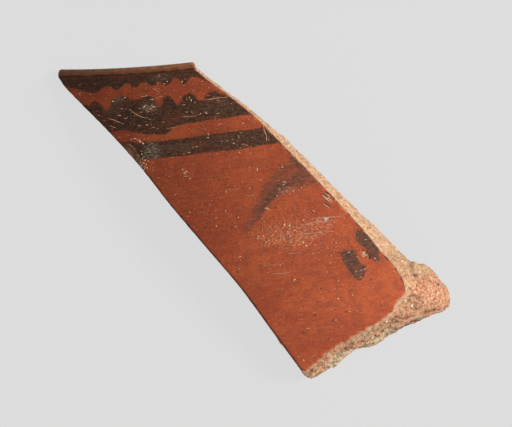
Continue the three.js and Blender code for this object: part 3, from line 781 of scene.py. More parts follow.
def build_grain(tree, given):
    """Coarse fired clay: two hues in clouds, a coarse and a fine grain, and white, dark and red specks."""
    spot = given["Place"]
    grain, fine = tree.noise(spot, 1300, 4, 0.75, 3), tree.noise(spot, 2300, 3, 0.7, 7)
    color = tree.tinted(
        given["First"],
        (tree.noise(spot, 200, 4, 0.6), (0.35, 0.65), given["Second"]),
        (grain, (0.52, 0.66, 0, 0.65), (0.64, 0.41, 0.245)),
        (grain, (0.47, 0.37, 0, 0.95), (0.19, 0.075, 0.040)),
        (fine, (0.53, 0.66, 0, 0.45), (0.70, 0.45, 0.275)),
        (fine, (0.45, 0.36, 0, 0.92), (0.14, 0.058, 0.031)),
    )
    pale = tree.spots(spot, 700, 0.22, 0.1)
    dark = tree.spots(tree.mapped(spot, move=0.3), 720, 0.24, 0.2)
    red = tree.spots(tree.mapped(spot, move=0.7), 480, 0.22, 0.12)
    color = tree.over(color, (0.86, 0.74, 0.58), pale, 0.7)
    color = tree.over(color, (0.07, 0.035, 0.025), dark, 0.85)
    color = tree.over(color, (0.36, 0.10, 0.05), red, 0.6)
    height = tree.plus(grain, tree.times(fine, 0.4))
    return {"Color": color, "Height": tree.plus(height, tree.times(tree.less(pale, dark), 0.25))}


grain_group = make_group(
    "gritty_clay",
    {"Place": ORIGIN, "First": (COLOR, (0.7, 0.35, 0.2, 1)), "Second": (COLOR, (0.7, 0.4, 0.25, 1))},
    {"Color": COLOR, "Height": FLOAT},
    build_grain,
)


def new_material(name, specular):
    """A material and its tree, its shader's constants set on the shader itself."""
    material = bpy.data.materials.new(name)
    material.use_nodes = True
    shader = material.node_tree.nodes["Principled BSDF"]
    shader.inputs["Specular IOR Level"].default_value = specular
    return material, Tree(material.node_tree), shader


def wire(tree, shader, color, roughness, height, distance):
    """The colour, the roughness and a bump of that depth in metres go into the shader."""
    tree.tree.links.new(color, shader.inputs["Base Color"])
    if isinstance(roughness, bpy.types.NodeSocket):
        tree.tree.links.new(roughness, shader.inputs["Roughness"])
    else:
        shader.inputs["Roughness"].default_value = roughness
    bumped = tree.node("ShaderNodeBump", {"Height": height, "Distance": distance})
    tree.tree.links.new(bumped.outputs[0], shader.inputs["Normal"])


COAT_SPECULAR = 0.22
COAT_BUMP = 0.00005


def make_slip_material():
    """The bare slip, scuffed, and darkened with painted shade along its edges, as the coat's own values say.
    """
    material, tree, shader = new_material("red_slip_coat", COAT_SPECULAR)
    slip = tree.shared(slip_group, Place=tree.wall_map(), Scuff=tree.value("scuff"), Edge=tree.value("edge"))
    wire(tree, shader, slip["Color"], slip["Roughness"], slip["Height"], COAT_BUMP)
    return material


def make_paint_material(name, dark, light, stray, fade, wear):
    """Thin paint over the slip: the paint's two hues, the slip where the paint has gone and beyond its edge,
    and a grey haze."""
    material, tree, shader = new_material(name, COAT_SPECULAR)
    place, scuff = tree.wall_map(), tree.value("scuff")
    slip = tree.shared(slip_group, Place=place, Scuff=scuff, Edge=tree.value("edge"))
    cover = tree.shared(cover_group, Place=place, Inside=tree.value("inside"), Stray=stray, Fade=fade,
                        Wear=tree.plus(scuff, wear))
    hue = tree.streaks(place, (75, 170), 0, 6, 5, 0.75)
    color = tree.tinted(dark, (hue, (0.4, 0.64), light))
    color = tree.mix(tree.times(cover["Cover"], tree.value("laid")), slip["Color"], color)
    color = tree.over(color, (0.42, 0.24, 0.145), cover["Worn"], cover["Outline"], 0.35)
    streaks = tree.streaks(place, (110, 330), -0.35, 12, 4, 0.75)
    haze = tree.times(tree.value("hazed"), tree.step(streaks, 0.49, 0.57, 0.02, 0.85), cover["Outline"])
    color = tree.mix(haze, color, (0.40, 0.335, 0.245))
    wire(tree, shader, color, slip["Roughness"], slip["Height"], COAT_BUMP)
    return material


def make_wash_material():
    """The lip's wash: dark brown at its left end and red-brown at its right, rubbed along the lip in streaks,
    red at its lower edge, and dark where the rim band begins."""
    material, tree, shader = new_material("brown_wash", COAT_SPECULAR)
    place = tree.wall_map()
    slip = tree.shared(slip_group, Place=place, Scuff=0.5)
    along = tree.node("ShaderNodeSeparateXYZ", {0: place}).outputs[0]
    rubbed = tree.streaks(place, (60, 240), 0, 8, 5, 0.75)
    color = tree.tinted(
        (0.160, 0.076, 0.036),
        (along, (0.03, 0.32), (0.40, 0.155, 0.066)),
        (rubbed, (0.51, 0.62, 0, 0.6), (0.52, 0.235, 0.105)),
        (rubbed, (0.49, 0.38, 0, 0.7), (0.085, 0.038, 0.021)),
    )
    color = tree.over(color, (0.26, 0.085, 0.038), tree.value("reddened"), 0.75)
    color = tree.mix(tree.value("banded"), color, (0.052, 0.024, 0.014))
    wire(tree, shader, color, slip["Roughness"], slip["Height"], 0.00006)
    return material


def make_clay_material():
    """The fired clay: creamier under the slip and along the side breaks, pinker elsewhere, crumbly, with
    painted shade in the crumbs' hollows and a painted highlight on their tops, drab at the thick corner,
    soil-stained and seamed along the bottom, dark with painted shade in its pits and cracks and along the
    bottom break's lower edge, and plain wiped buff on the inner face."""
    material, tree, shader = new_material("fired_clay", 0.2)
    spot, soiled = tree.spot(), tree.value("soiled")
    clay = tree.shared(grain_group, Place=spot, First=(0.51, 0.235, 0.122, 1), Second=(0.46, 0.170, 0.088, 1))
    speckle = tree.noise(spot, 800, 4, 0.7, 2)
    under_slip = tree.times(tree.step(tree.value("below"), 1.2, 0.1), tree.step(speckle, 0.35, 0.6), 0.6)
    cream = tree.times(tree.value("creamy"), tree.step(speckle, 0.3, 0.65, 0.25, 0.8))
    fresh = tree.mix(tree.math("MAXIMUM", under_slip, cream), clay["Color"], (0.58, 0.385, 0.22))
    stained = tree.times(soiled, tree.step(tree.noise(spot, 420, 5, 0.75), 0.42, 0.6), 0.65)
    fresh = tree.mix(stained, fresh, (0.30, 0.22, 0.135))
    drab = tree.times(tree.value("drab"), tree.step(speckle, 0.3, 0.6, 0.35, 0.8))
    fresh = tree.mix(drab, fresh, (0.40, 0.27, 0.145))
    # Painted shade in the crumbs' hollows, deeper on the soiled bottom break, and a painted highlight on
    # their tops, which the bump raises.
    crumbs = tree.noise(spot, 1000, 5, 0.8, 9)
    hollows = tree.math("MAXIMUM", tree.step(crumbs, 0.47, 0.37, 0, 0.65),
                        tree.times(soiled, tree.step(crumbs, 0.49, 0.38, 0, 0.9)))
    fresh = tree.mix(hollows, fresh, (0.21, 0.095, 0.05))
    fresh = tree.tinted(fresh, (crumbs, (0.53, 0.64, 0, 0.45), (0.80, 0.60, 0.41)))
    folds = tree.noise(spot, 520, 4, 0.7, 12)
    seams = tree.step(tree.math("ABSOLUTE", tree.less(folds, 0.5)), 0.022, 0.0)
    fresh = tree.over(fresh, (0.10, 0.045, 0.027), seams, soiled, 0.7)
    # Painted shade in the pits and cracks and along the bottom break's lower edge.
    fresh = tree.over(fresh, (0.065, 0.028, 0.018), tree.value("pit_crack_and_edge_shade"), 0.95)
    wiped = tree.streaks(tree.wall_map(), (9, 130), 0.03, 2, 4, 0.6)
    plain = tree.tinted((0.40, 0.20, 0.115), (wiped, (0.3, 0.7), (0.54, 0.295, 0.175)))
    plain = tree.mix(0.35, plain, clay["Color"])
    color = tree.mix(tree.math("MAXIMUM", tree.value("broken"), tree.value("chipped")), plain, fresh)
    wire(tree, shader, color, 0.92, tree.plus(clay["Height"], tree.times(crumbs, 0.6)), 0.00035)
    return material


def make_stone_material(name, light, dark, roughness, distance=0.0001, scale=700, steps=(0.35, 0.68),
                        stain_and_shade_hue=None):
    """A mineral or an earthy deposit: two hues in clouds with a fine grain, and a third hue where the piece's
    own value for it says so; on the soil that hue is a darker stain and painted shade."""
    material, tree, shader = new_material(name, 0.3)
    spot = tree.spot()
    clouds, grain = tree.noise(spot, scale, 4, 0.65), tree.noise(spot, 3200, 3, 0.6, 5)
    color = tree.tinted(dark, (clouds, steps, light), (grain, (0.55, 0.75, 0, 0.4), light))
    if stain_and_shade_hue:
        stain_and_shade = tree.times(tree.value("stain_and_shade"), tree.step(grain, 0.62, 0.46, 0.45, 0.95))
        color = tree.mix(stain_and_shade, color, stain_and_shade_hue)
    wire(tree, shader, color, roughness, tree.plus(clouds, grain), distance)
    return material


def make_crust_material():
    """The crust by the left break: red-brown earth, olive along its upper and inner edges, and a yellowish
    lime bloom beyond them."""
    material, tree, shader = new_material("lime_and_earth_crust", 0.25)
    spot = tree.spot()
    clouds, grain = tree.noise(spot, 500, 4, 0.65), tree.noise(spot, 2200, 3, 0.7, 5)
    color = tree.tinted(
        (0.15, 0.060, 0.034),
        (clouds, (0.35, 0.65), (0.30, 0.125, 0.066)),
        (grain, (0.55, 0.7, 0, 0.6), (0.38, 0.22, 0.13)),
        (grain, (0.45, 0.33, 0, 0.6), (0.07, 0.035, 0.022)),
    )
    color = tree.over(color, (0.075, 0.060, 0.036), tree.value("olive"), 0.85)
    bloom = tree.times(tree.value("bloom"), tree.step(grain, 0.47, 0.56, 0.0, 0.95))
    wire(tree, shader, tree.mix(bloom, color, (0.66, 0.50, 0.30)), 0.9, tree.plus(clouds, grain), 0.00015)
    return material


def make_mark_material(name, light, dark):
    """Small marks, each with its own tone between two hues."""
    material, tree, shader = new_material(name, 0.25)
    grain = tree.noise(tree.spot(), 4000, 2)
    tone = tree.plus(tree.value("tone"), tree.times(tree.less(grain, 0.5), 0.6))
    wire(tree, shader, tree.tinted(light, (tone, (0.1, 0.9), dark)), 0.8, grain, 0.00003)
    return material


clay_material = make_clay_material()
slip_material = make_slip_material()
wash_material = make_wash_material()
paint_material = make_paint_material(
    "dark_band_paint", (0.037, 0.019, 0.011), (0.115, 0.044, 0.022), 0.9, 0.35, 0.15)
stroke_material = make_paint_material(
    "thin_stroke_paint", (0.078, 0.035, 0.022), (0.19, 0.062, 0.032), 1.6, 1.0, 0.3)
dab_material = make_paint_material(
    "dab_purple_brown", (0.058, 0.028, 0.018), (0.145, 0.058, 0.033), 1.1, 0.4, 0.12)
crust_material = make_crust_material()
lime_material = make_stone_material("lime_deposit", (0.62, 0.55, 0.46), (0.30, 0.20, 0.14), 0.95)
soil_material = make_stone_material(
    "ground_soil", (0.50, 0.365, 0.215), (0.19, 0.115, 0.068), 1.0, 0.0003, 1300, (0.36, 0.58),
    (0.10, 0.043, 0.026))
pale_grit_material = make_stone_material(
    "pale_grain", (0.84, 0.74, 0.57), (0.55, 0.41, 0.27), 0.7, 0.0001, 1600)
dark_grit_material = make_stone_material("dark_grain", (0.13, 0.10, 0.08), (0.045, 0.032, 0.026), 0.55)
red_grit_material = make_stone_material("red_grain", (0.42, 0.14, 0.07), (0.24, 0.07, 0.04), 0.7)
fleck_material = make_mark_material("pale_fleck", (0.66, 0.46, 0.31), (0.42, 0.22, 0.13))
dash_material = make_mark_material("pale_dash", (0.68, 0.36, 0.22), (0.42, 0.165, 0.09))
dark_mark_material = make_mark_material("dark_scratch", (0.16, 0.052, 0.027), (0.075, 0.030, 0.018))


# The chip, a shallow scoop through the slip and the right dab's edge

# Its length, width and depth, and how far it leans down to the right
CHIP_SIZE = (2.5, 1.35, 0.16)
CHIP_LEAN = math.radians(52)
chip_place = place_at((365.6, 254.6))


def chip_depth(place):
    """How deep the chip is at a place, in millimetres: an ellipse's bowl with a ragged rim, 0 outside it."""
    away = place - chip_place
    along = away[..., 0] * math.cos(CHIP_LEAN) + away[..., 1] * math.sin(CHIP_LEAN)
    across = away[..., 1] * math.cos(CHIP_LEAN) - away[..., 0] * math.sin(CHIP_LEAN)
    out = np.hypot(along / (CHIP_SIZE[0] / 2), across / (CHIP_SIZE[1] / 2))
    out = out + 0.3 * flat_noise(place, (0.5, 0.5), 31, 2)
    return CHIP_SIZE[2] * np.sqrt(np.clip(1 - out ** 2, 0, 1))


def break_relief(points):
    """How far a broken surface stands out of its plain form: lumps in four sizes, less scattered pits."""
    pits = np.clip(noise(points, 1.5, 12, 2) - 0.5, 0, 1) + 0.7 * np.clip(noise(points, 0.9, 18) - 0.45, 0, 1)
    return 0.05 + 0.24 * noise(points, 2.6, 11, 3) + 0.12 * noise(points, 0.65, 16, 2) - 0.6 * pits


# The darkness of the pits and cracks below is painted shade in them.
# Pits of the thick corner and the bottom break, by photograph pixels: x, y, radius, depth in mm and darkness
CLAY_PITS = [
    (416.2, 275.2, 1.7, 0.9, 1), (419, 297, 1.5, 0.35, 0.5), (427.6, 312.3, 1.8, 0.4, 0.7),
    (401, 313, 1.8, 0.35, 0.6), (393, 321, 2.5, 0.4, 0.8), (397, 322.5, 2, 0.3, 0.8),
    (390, 325, 1.8, 0.3, 0.6), (404, 267.4, 1, 0.25, 0.4), (411.7, 314.5, 1.2, 0.3, 0.5),
    (404, 309, 1.3, 0.3, 0.5), (408, 318, 1.4, 0.3, 0.6), (345, 349, 1.6, 0.35, 0.6),
    (311.5, 371.7, 1.8, 0.4, 0.9), (352, 344, 1.4, 0.3, 0.5), (334, 352, 1.4, 0.3, 0.5),
    (383, 333, 1.5, 0.3, 0.5), (399, 300, 1.2, 0.2, 0.3), (426, 291, 1.2, 0.2, 0.4),
    (432, 303, 1.1, 0.2, 0.4),
]
# Drab patches there: x, y, half width, half height and strength
CLAY_DRAB = [(419, 267, 18, 11, 1.0), (396, 254, 10, 8, 0.5), (404, 300, 8, 5, 0.4), (378, 334, 12, 7, 0.8)]
# Cracks there, as lines of pixels, and how wide, deep in mm and dark with painted shade they are
CRACK_WIDTH, CRACK_DEPTH, CRACK_DARKNESS = 0.9, 0.3, 0.75
CLAY_CRACKS = [
    ((411.5, 262), (413, 267), (413.5, 272)), ((408.2, 296.7), (415, 295.5), (419, 299), (423.5, 303.5)),
    ((409, 300), (413, 304), (418, 311)), ((363, 342.5), (368, 344), (374, 345)),
    ((396, 317), (402, 320), (408, 319.5)), ((429, 312.5), (435, 311.5), (441, 311.3)),
]


def clay_marks(points):
    """The named pits and cracks: how deep each point is and how dark with painted shade, by its pixel's
    distance from them, as bell curves."""
    at = pixels_of(points)
    deep, dark = 0, 0
    for x, y, radius, down, darkness in CLAY_PITS:
        near = np.exp(-((at[:, 0] - x) ** 2 + (at[:, 1] - y) ** 2) / radius ** 2)
        deep, dark = np.maximum(deep, down * near), np.maximum(dark, darkness * near)
    for crack in CLAY_CRACKS:
        line = np.array(crack, float)
        near = np.exp(-(distance_to(at, line[:-1], line[1:]) / CRACK_WIDTH) ** 2)
        deep, dark = np.maximum(deep, CRACK_DEPTH * near), np.maximum(dark, CRACK_DARKNESS * near)
    return deep, dark


# The fired clay: a closed block over the wall, its breaks granular and its inner face wiped smooth

# Its steps across, down and through the wall, and how far its map sets the inner face below the outer one
CLAY_STEPS = (130, 250, 36)
INNER_MAP_SHIFT = 100


def make_clay():
    """The wall's block. A break's points move along their normals by its relief, less the named pits and
    cracks. The sharp inner edges are worn back, the inner face is uneven in long wiped hollows, and what
    would sink below the ground is drawn back to it. It gives the breaks' points and their normals."""
    steps, faces = shell_of(*CLAY_STEPS)
    u, v, w = (steps / CLAY_STEPS).T
    bowl = wall_point(u, v, w)
    place = swept(u, v, w)
    broken = ((u == 0) | (u == 1) | (v == 1)) & (v > 0)
    normals = point_normals(bowl, faces)
    rough = smooth_step(w, 0, 0.1) * smooth_step(v, 0, 0.03) * broken
    deep, dark = clay_marks(bowl)
    out = rough * (break_relief(bowl) - deep)
    edge, inside = (w == 1) & broken, (w == 1) & ~broken
    out = out - edge * (0.1 + 0.14 * noise(bowl, 2.2, 13, 3))
    wiped = 0.05 * noise(bowl * [0.25, 1, 0.25], 1.6, 14, 2) + 0.06 * noise(bowl, 9, 15)
    out = out + inside * smooth_step(v, 0.05, 0.09) * wiped
    painted = w == 0
    out = out - painted * chip_depth(place)
    rest = to_rest(bowl + normals * out[:, None])
    over = to_rest(wall_point(u, v, 0 * w))
    sunk = rest[:, 2] < 0
    share = np.where(sunk, -rest[:, 2] / np.where(sunk, over[:, 2] - rest[:, 2], 1), 0)
    rest = blend(rest, over, share[:, None])
    places = np.stack([place[:, 0], place[:, 1] + INNER_MAP_SHIFT * (w == 1)], -1)
    shown = broken & (w > 0.04) & (w < 0.96) & (rest[:, 2] > 0.3) & (v > 0.01)
    turned = point_normals(rest, faces)
    creamy = (u == 1) * smooth_step(v, 0.97, 0.75) + (u == 0) * 0.6 + painted * 0.9
    at = pixels_of(bowl)
    drab = sum(strength * np.exp(-((at[:, 0] - x) / wide) ** 2 - ((at[:, 1] - y) / high) ** 2)
               for x, y, wide, high, strength in CLAY_DRAB)
    # Painted shade, partly a dark stain: the bottom break darkens towards its lower edge by the inner face,
    # where it turns away into shadow.
    foot = (v == 1) * smooth_step(w, 0.74, 0.95) * smooth_step(u, 0.3, 0.7)
    soiled = (v == 1) * (1 - 0.7 * smooth_step(u, 0.6, 0.8))
    dark = np.maximum(dark, foot * np.clip(0.6 + 0.7 * noise(bowl, 1.1, 19, 2), 0, 1))
    make_piece("clay_body", ["clay_wall"], rest, faces, clay_material, places, {
        "broken": broken * 1.0, "below": w * thickness(inner_face(u, v)), "soiled": soiled, "creamy": creamy,
        "drab": np.clip(drab, 0, 1) * broken, "pit_crack_and_edge_shade": dark * broken,
        "chipped": painted * (chip_depth(place) > 0) * 1.0,
    })
    return rest[shown], turned[shown]


break_points = make_clay()


# The red slip: one coat from inside the lip, over it, and down the painted face

# Its steps across, and along its path inside the lip, over the lip and down the face. How many millimetres of
# its map the whole of v would take inside the lip
SLIP_ACROSS = 160
LAP_ROWS, LIP_ROWS, FACE_ROWS = 12, 20, 260
LAP_RUN = 90


def slip_path(across):
    """The slip's path at each share across: v and w from the ragged line inside the lip, over the lip's half
    ellipse, and down to the bottom break."""
    lap = 0.052 + 0.01 * np.sin(across * 9) + 0.006 * np.sin(across * 23 + 1)
    lap = lap * (0.06 + 0.94 * smooth_step(across, 0.0, 0.1))
    start = 1 - 0.35 * (1 - smooth_step(across, 0.0, 0.07))
    inside = np.linspace(1, 0, LAP_ROWS + 1)[:-1]
    over = np.linspace(0, 1, LIP_ROWS + 1)
    down = np.linspace(0, 1, FACE_ROWS + 1)[1:]
    foot = 1 - (0.42 + 0.34 * run_noise(across * FACE_WIDTH, 1.1, 41, 3)) / FACE_LENGTH
    lap, start, foot = lap[:, None], start[:, None], foot[:, None]
    v = np.concatenate([lap * inside, 0 * lap * over, foot * down], 1)
    w = np.concatenate([start + 0 * inside, start * (1 - over), 0 * lap * down], 1)
    return v, w


def edge_shade_at(place):
    """From 1 at the side breaks' edges to 0 a fraction of a millimetre in: painted shade where a coat's edge
    turns into a break.
    """
    depth = place[..., 1]
    left = place[..., 0] - arc_at_depth(left_side, depth)
    right = arc_at_depth(right_side, depth) - place[..., 0]
    ragged = 0.2 * flat_noise(place, (0.8, 0.8), 44, 2)
    return np.maximum(smooth_step(left + ragged, 0.8, 0.2), smooth_step(right + ragged, 0.62, 0.25))


def make_slip():
    """The coat. Its sides are let in by a ragged fraction of a millimetre, its rims are worn thin, and at the
    chip it dips below the clay, so that the clay shows there. Its map runs on over the lip and inside it."""
    across = np.linspace(0, 1, SLIP_ACROSS + 1)
    v, w = slip_path(across)
    left = 0.12 + 0.1 * run_noise(v * FACE_LENGTH, 1.1, 42, 2)
    right = 0.3 + 0.2 * run_noise(v * FACE_LENGTH, 0.9, 43, 2)
    u = left / FACE_WIDTH + (1 - (left + right) / FACE_WIDTH) * across[:, None]
    place = painted_face(u, v)
    near_side = np.minimum(across, 1 - across)[:, None] * FACE_WIDTH
    near_foot = (1 - np.linspace(0, 1, v.shape[1])[None, :]) * FACE_LENGTH
    worn = smooth_step(np.minimum(near_side, near_foot), -0.15, 0.4)
    on_face = (w == 0) & (v > 0)
    dip = chip_depth(place) * on_face
    sunk = dip + 0.4 * smooth_step(dip, 0, 0.08)
    top = COAT_GAP + SLIP_THICKNESS * (0.3 + 0.7 * worn) + ripple(place) * worn - sunk
    points, faces, at = coat(wall_point(u, v, w), top, COAT_GAP - sunk)
    path = np.where(on_face, place[..., 1], -LIP_RUN * w - LAP_RUN * v * (w > 0))
    make_piece("slip_coat", ["red_slip"], points, faces, slip_material,
               np.stack([place[..., 0], path], -1)[at],
               {"scuff": scuff_at(place)[at], "edge": edge_shade_at(place)[at]})


make_slip()


# The paint: thin sheets on the slip, each trimmed a little outside its paint's outline

# How far in from the side breaks a sheet ends, the size of its cells, how far it goes on beyond its paint,
# how far its rim sinks and its middle rises, how thick it is, and how many depths of the chip it dips there
LEFT_INSET, RIGHT_INSET = 0.25, 0.4
PAINT_CELL = 0.2
PAINT_MARGIN = 0.6
PAINT_RISE = 0.014
SHEET_THICKNESS = 0.04
CHIP_DIP = 6

RIM_BAND_OUTLINE = [
    (48, 69), (62, 69), (79, 69.6), (96, 69.7), (113, 69.7), (127, 68.8), (141, 68.3), (155, 67.5),
    (170, 67), (184, 67), (194, 67.6), (202, 71), (212, 78), (209, 82), (203, 80.6), (197, 78.3),
    (192.5, 77.6), (188.8, 80.6), (186, 84.6), (181.2, 84.2), (178.7, 79.4), (174.4, 78.6), (171.5, 82.3),
    (167.7, 86), (162.9, 85), (159.1, 82.3), (155.3, 85.4), (150.5, 86), (145.7, 83.3), (140.9, 83.7),
    (137.1, 88), (133.3, 89.5), (129.4, 84.9), (125.6, 84.2), (120.8, 87.6), (117, 90.5), (112.2, 89),
    (109.3, 86.2), (102.6, 87.8), (97.8, 92.2), (91.1, 93), (82.5, 91), (73.9, 88.8), (66, 87), (55, 82),
]
SCALLOPED_BAND_OUTLINE = [
    (78, 104), (88.3, 105), (89.7, 102.1), (95, 100.7), (99.8, 103.1), (103.1, 106.9), (106.5, 109.8),
    (109.3, 106.9), (111.2, 100.2), (115.1, 97.3), (122.7, 95.4), (127.5, 96.8), (130.4, 99.2),
    (136.1, 98.8), (141.9, 97.8), (146.7, 94.9), (151.4, 96.4), (155.3, 101.1), (159.1, 105.9),
    (161.5, 105), (162.9, 98.3), (166.7, 95.9), (171.5, 97.3), (175.4, 102.1), (178.2, 104.5),
    (181.1, 101.1), (184, 95.4), (188.8, 93), (193.5, 94.4), (196.4, 97.5), (198.7, 100.2), (203, 100),
    (205.8, 95.2), (209.7, 91.8), (215.4, 91.6), (221.1, 93.8), (227.8, 95.6), (234, 96), (240, 99),
    (262, 112), (256, 114.2), (237.4, 117.2), (223.1, 119.4), (208.7, 121), (194.4, 123.4), (184, 124.6),
    (178, 126), (173.4, 128.6), (169, 132.4), (164.8, 134.8), (153.3, 135.2), (141.9, 134.2),
    (131.3, 132), (122.7, 130.8), (115.1, 131.6), (108, 132), (98, 128),
]
LOWER_BAND_OUTLINE = [
    (110, 141), (120.8, 141.2), (129.4, 141.3), (138, 142.6), (145.7, 141.4), (160, 140.4),
    (174.4, 139.2), (188.8, 137), (200, 135.4), (213.5, 133.4), (227.8, 132), (237.4, 130.8),
    (251.8, 129.2), (263.3, 127), (272, 125), (292, 141), (281.4, 143.5), (266.1, 145.4), (251.8, 147.8),
    (237.4, 150.4), (223.1, 151.6), (208.7, 152.8), (194.4, 155.2), (179.2, 156.9), (164.8, 158.1),
    (153.3, 159.4), (143, 160), (133, 162), (122, 160),
]
STROKE_OUTLINE = [
    (291, 153), (305, 160), (324, 180), (318.5, 187.5), (312, 186.5), (302, 190), (288, 194),
    (277.6, 199.6), (270, 206.5), (264.5, 215), (257.5, 224), (250, 234), (244, 234.5), (242.5, 227),
    (247, 216), (251, 206), (256, 196), (261, 186), (269, 176), (278, 167), (286, 160.5),
]
# A core of the stroke: its width in millimetres, its strength and its line's pixels
STROKE_CORES = [
    (0.5, 0.42, ((309, 172), (303, 174.5), (296, 177.5), (290, 181), (284.2, 185.4), (278, 190), (272, 196))),
    (1.1, 0.14, ((303, 176), (296, 179.5), (288, 184.5), (278, 191), (270, 199))),
    (1.3, 0.48, ((280, 189), (274.5, 196.5), (269.5, 202.5), (263, 209.5))),
    (1.7, 0.32, ((265, 207), (258, 216), (252.5, 224), (248, 231))),
    (0.9, 0.28, ((290.5, 157.5), (295, 162), (300, 168))),
    (0.9, 0.2, ((315, 182.5), (307, 184), (297, 187.5))),
    (0.7, 0.2, ((297, 164), (289, 170), (282, 177), (276, 184))),
]
LEFT_DAB_OUTLINE = [
    (340, 251.6), (347, 249.4), (354.8, 250), (357.7, 255.9), (360.4, 262), (365.8, 266.8), (366.4, 273),
    (361.2, 281.2), (355.1, 279.2), (350, 273.3), (345.7, 266.1), (341.5, 259),
]
RIGHT_DAB_OUTLINE = [
    (358.4, 228.9), (366.3, 232.6), (374, 240.4), (380.4, 248.2), (379.6, 254), (380.8, 259),
    (377.6, 263.3), (371.6, 259.4), (368.2, 253.7), (363.3, 247.8), (357.2, 242.9), (354.8, 235.5),
]


def patch_places(outline):
    """Places over an outline's extent and a margin, in even rows. At each end a row stops at the margin or
    at the side break, whichever lies further in."""
    low, high = outline.min(0) - PAINT_MARGIN, outline.max(0) + PAINT_MARGIN
    rows = int((high[1] - low[1]) / PAINT_CELL)
    depth = np.linspace(max(low[1], LIP_HEIGHT + 0.1), high[1], rows + 1)
    start = np.maximum(low[0], arc_at_depth(left_side, depth) + LEFT_INSET)
    stop = np.minimum(high[0], arc_at_depth(right_side, depth) - RIGHT_INSET)
    columns = int((stop - start).max() / PAINT_CELL)
    share = np.linspace(0, 1, columns + 1)[:, None]
    arcs = blend(start, stop, share)
    return np.stack([arcs, np.broadcast_to(depth, arcs.shape)], -1)


def paint_sheet(node, pixels, material, extra):
    """A sheet over an outline, its rim sunk a hair into the slip, so that the paint's edge is the material's,
    and sunk deep under the chip. Its "inside" value is the distance in from the outline, in millimetres."""
    outline = smooth_outline(pixels)
    place = patch_places(outline)
    inside = distance_inside(place, outline)
    keep = np.any(corners_of(inside > -PAINT_MARGIN), 0)
    top = SLIP_TOP + PAINT_RISE * np.clip((inside + 0.25) / 0.35, -1, 1) + ripple(place)
    top = top - chip_depth(place) * CHIP_DIP
    points, faces, at = trimmed_coat(on_wall(place), top, top - SHEET_THICKNESS, keep)
    floats = {"inside": inside, "scuff": scuff_at(place), "edge": edge_shade_at(place)}
    floats.update({label: values(place) for label, values in extra.items()})
    make_piece(node + "_paint", [node], points, faces, material, place[at],
               {label: values[at] for label, values in floats.items()})


def stroke_laid(place):
    """How much paint the brush left: a thin wash in strands along the stroke, and dark cores."""
    slanted = place @ np.array([[0.5, 0.87], [0.87, -0.5]])
    strands = flat_noise(slanted, (0.4, 3), 51, 2)
    total = 0.5 + 0.22 * strands + 0.16 * flat_noise(place, (1.1, 0.4), 54, 2)
    total = total - 0.1 * near_line(place, [(258, 212), (250, 226), (244, 236)], 3)
    for width, strength, pixels in STROKE_CORES:
        total = total + strength * near_line(place, pixels, width) * (0.9 + 0.25 * strands)
    return np.clip(total, 0, 1)


def dab_laid(place):
    """The dabs' paint is nearly whole, rubbed towards the right dab's foot."""
    rubbed = near_line(place, [(368, 256), (376, 263)], 0.5)
    return np.clip(0.95 + 0.12 * flat_noise(place, (1.2, 1.2), 52, 2) - 0.3 * rubbed, 0, 1)


def full_laid(place):
    """The bands' paint is thick, here and there thinner in long clouds."""
    return np.clip(1.0 + 0.12 * flat_noise(place, (6, 1.5), 53, 3), 0, 1)


def haze_at(place):
    """The grey haze on the bands, from 0 to 1."""
    return np.clip(ovals_at(place, HAZES), 0, 1)


BAND_VALUES = {"laid": full_laid, "hazed": haze_at}
for node, slot, pixels, material, values in (
    ("rim_band", "dark_paint", RIM_BAND_OUTLINE, paint_material, BAND_VALUES),
    ("scalloped_band", "dark_paint", SCALLOPED_BAND_OUTLINE, paint_material, BAND_VALUES),
    ("lower_band", "dark_paint", LOWER_BAND_OUTLINE, paint_material, BAND_VALUES),
    ("brush_stroke", "dark_paint", STROKE_OUTLINE, stroke_material, {"laid": stroke_laid}),
    ("left_dab", "dab_paint", LEFT_DAB_OUTLINE, dab_material, {"laid": dab_laid}),
    ("right_dab", "dab_paint", RIGHT_DAB_OUTLINE, dab_material, {"laid": dab_laid}),
):
    paint_sheet(node, pixels, material, values)


# The lip's wash, a sheet over the slip

# Its ends as shares across, where on the lip's half ellipse it starts, its steps across and down, the heights
# of its two faces over the slip's top, and its length
WASH_ENDS = (0.006, 0.991)
WASH_START = 0.8
WASH_STEPS = (160, 24)
WASH_UNDER, WASH_TOP = 0.01, 0.05
WASH_LENGTH = 38


def make_wash():
    """The wash covers the lip's outer four fifths. How red and how dark it is grows by smooth steps towards
    its lower edge, made ragged by noise."""
    across = np.linspace(0, 1, WASH_STEPS[0] + 1)[:, None]
    turn = np.linspace(WASH_START, 0, WASH_STEPS[1] + 1)[None, :]
    u = WASH_ENDS[0] + (WASH_ENDS[1] - WASH_ENDS[0]) * across
    spots = np.stack(np.broadcast_arrays(across * WASH_LENGTH, turn * 6), -1)
    ragged = turn + 0.05 * flat_noise(spots, (1.3, 0.5), 46, 3)
    points, faces, at = coat(wall_point(u, 0.0, turn), SLIP_TOP + WASH_TOP, SLIP_TOP + WASH_UNDER)
    places = np.stack(np.broadcast_arrays(u * WASH_LENGTH, -LIP_RUN * turn), -1)
    make_piece("lip_brown_wash", ["lip_wash"], points, faces, wash_material, places[at], {
        "banded": smooth_step(ragged, 0.18, 0.04)[at], "reddened": smooth_step(ragged, 0.34, 0.15)[at],
    })


make_wash()


# What the ground left: the lime crust and speck on the face, and the soil on the bottom break

CRUST_OUTLINE = [
    (112, 139), (120, 143), (127.5, 144), (132.5, 147), (136.5, 151.5), (139.5, 157), (141.8, 163),
    (142.5, 168), (141, 172), (137, 172), (128, 162),
]
CRUST_OLIVE = [(119, 144.8), (127, 145.5), (131.7, 148.4), (135.6, 153), (138.6, 158.8), (140.8, 166)]
CRUST_BLOOM = [(138, 155), (140.5, 160), (141.5, 166)]
SPECK_OUTLINE = [
    (322.4, 217.6), (325.2, 216.4), (327.8, 218.4), (327.4, 221.4), (324.6, 222.4), (322.2, 220.6),
]


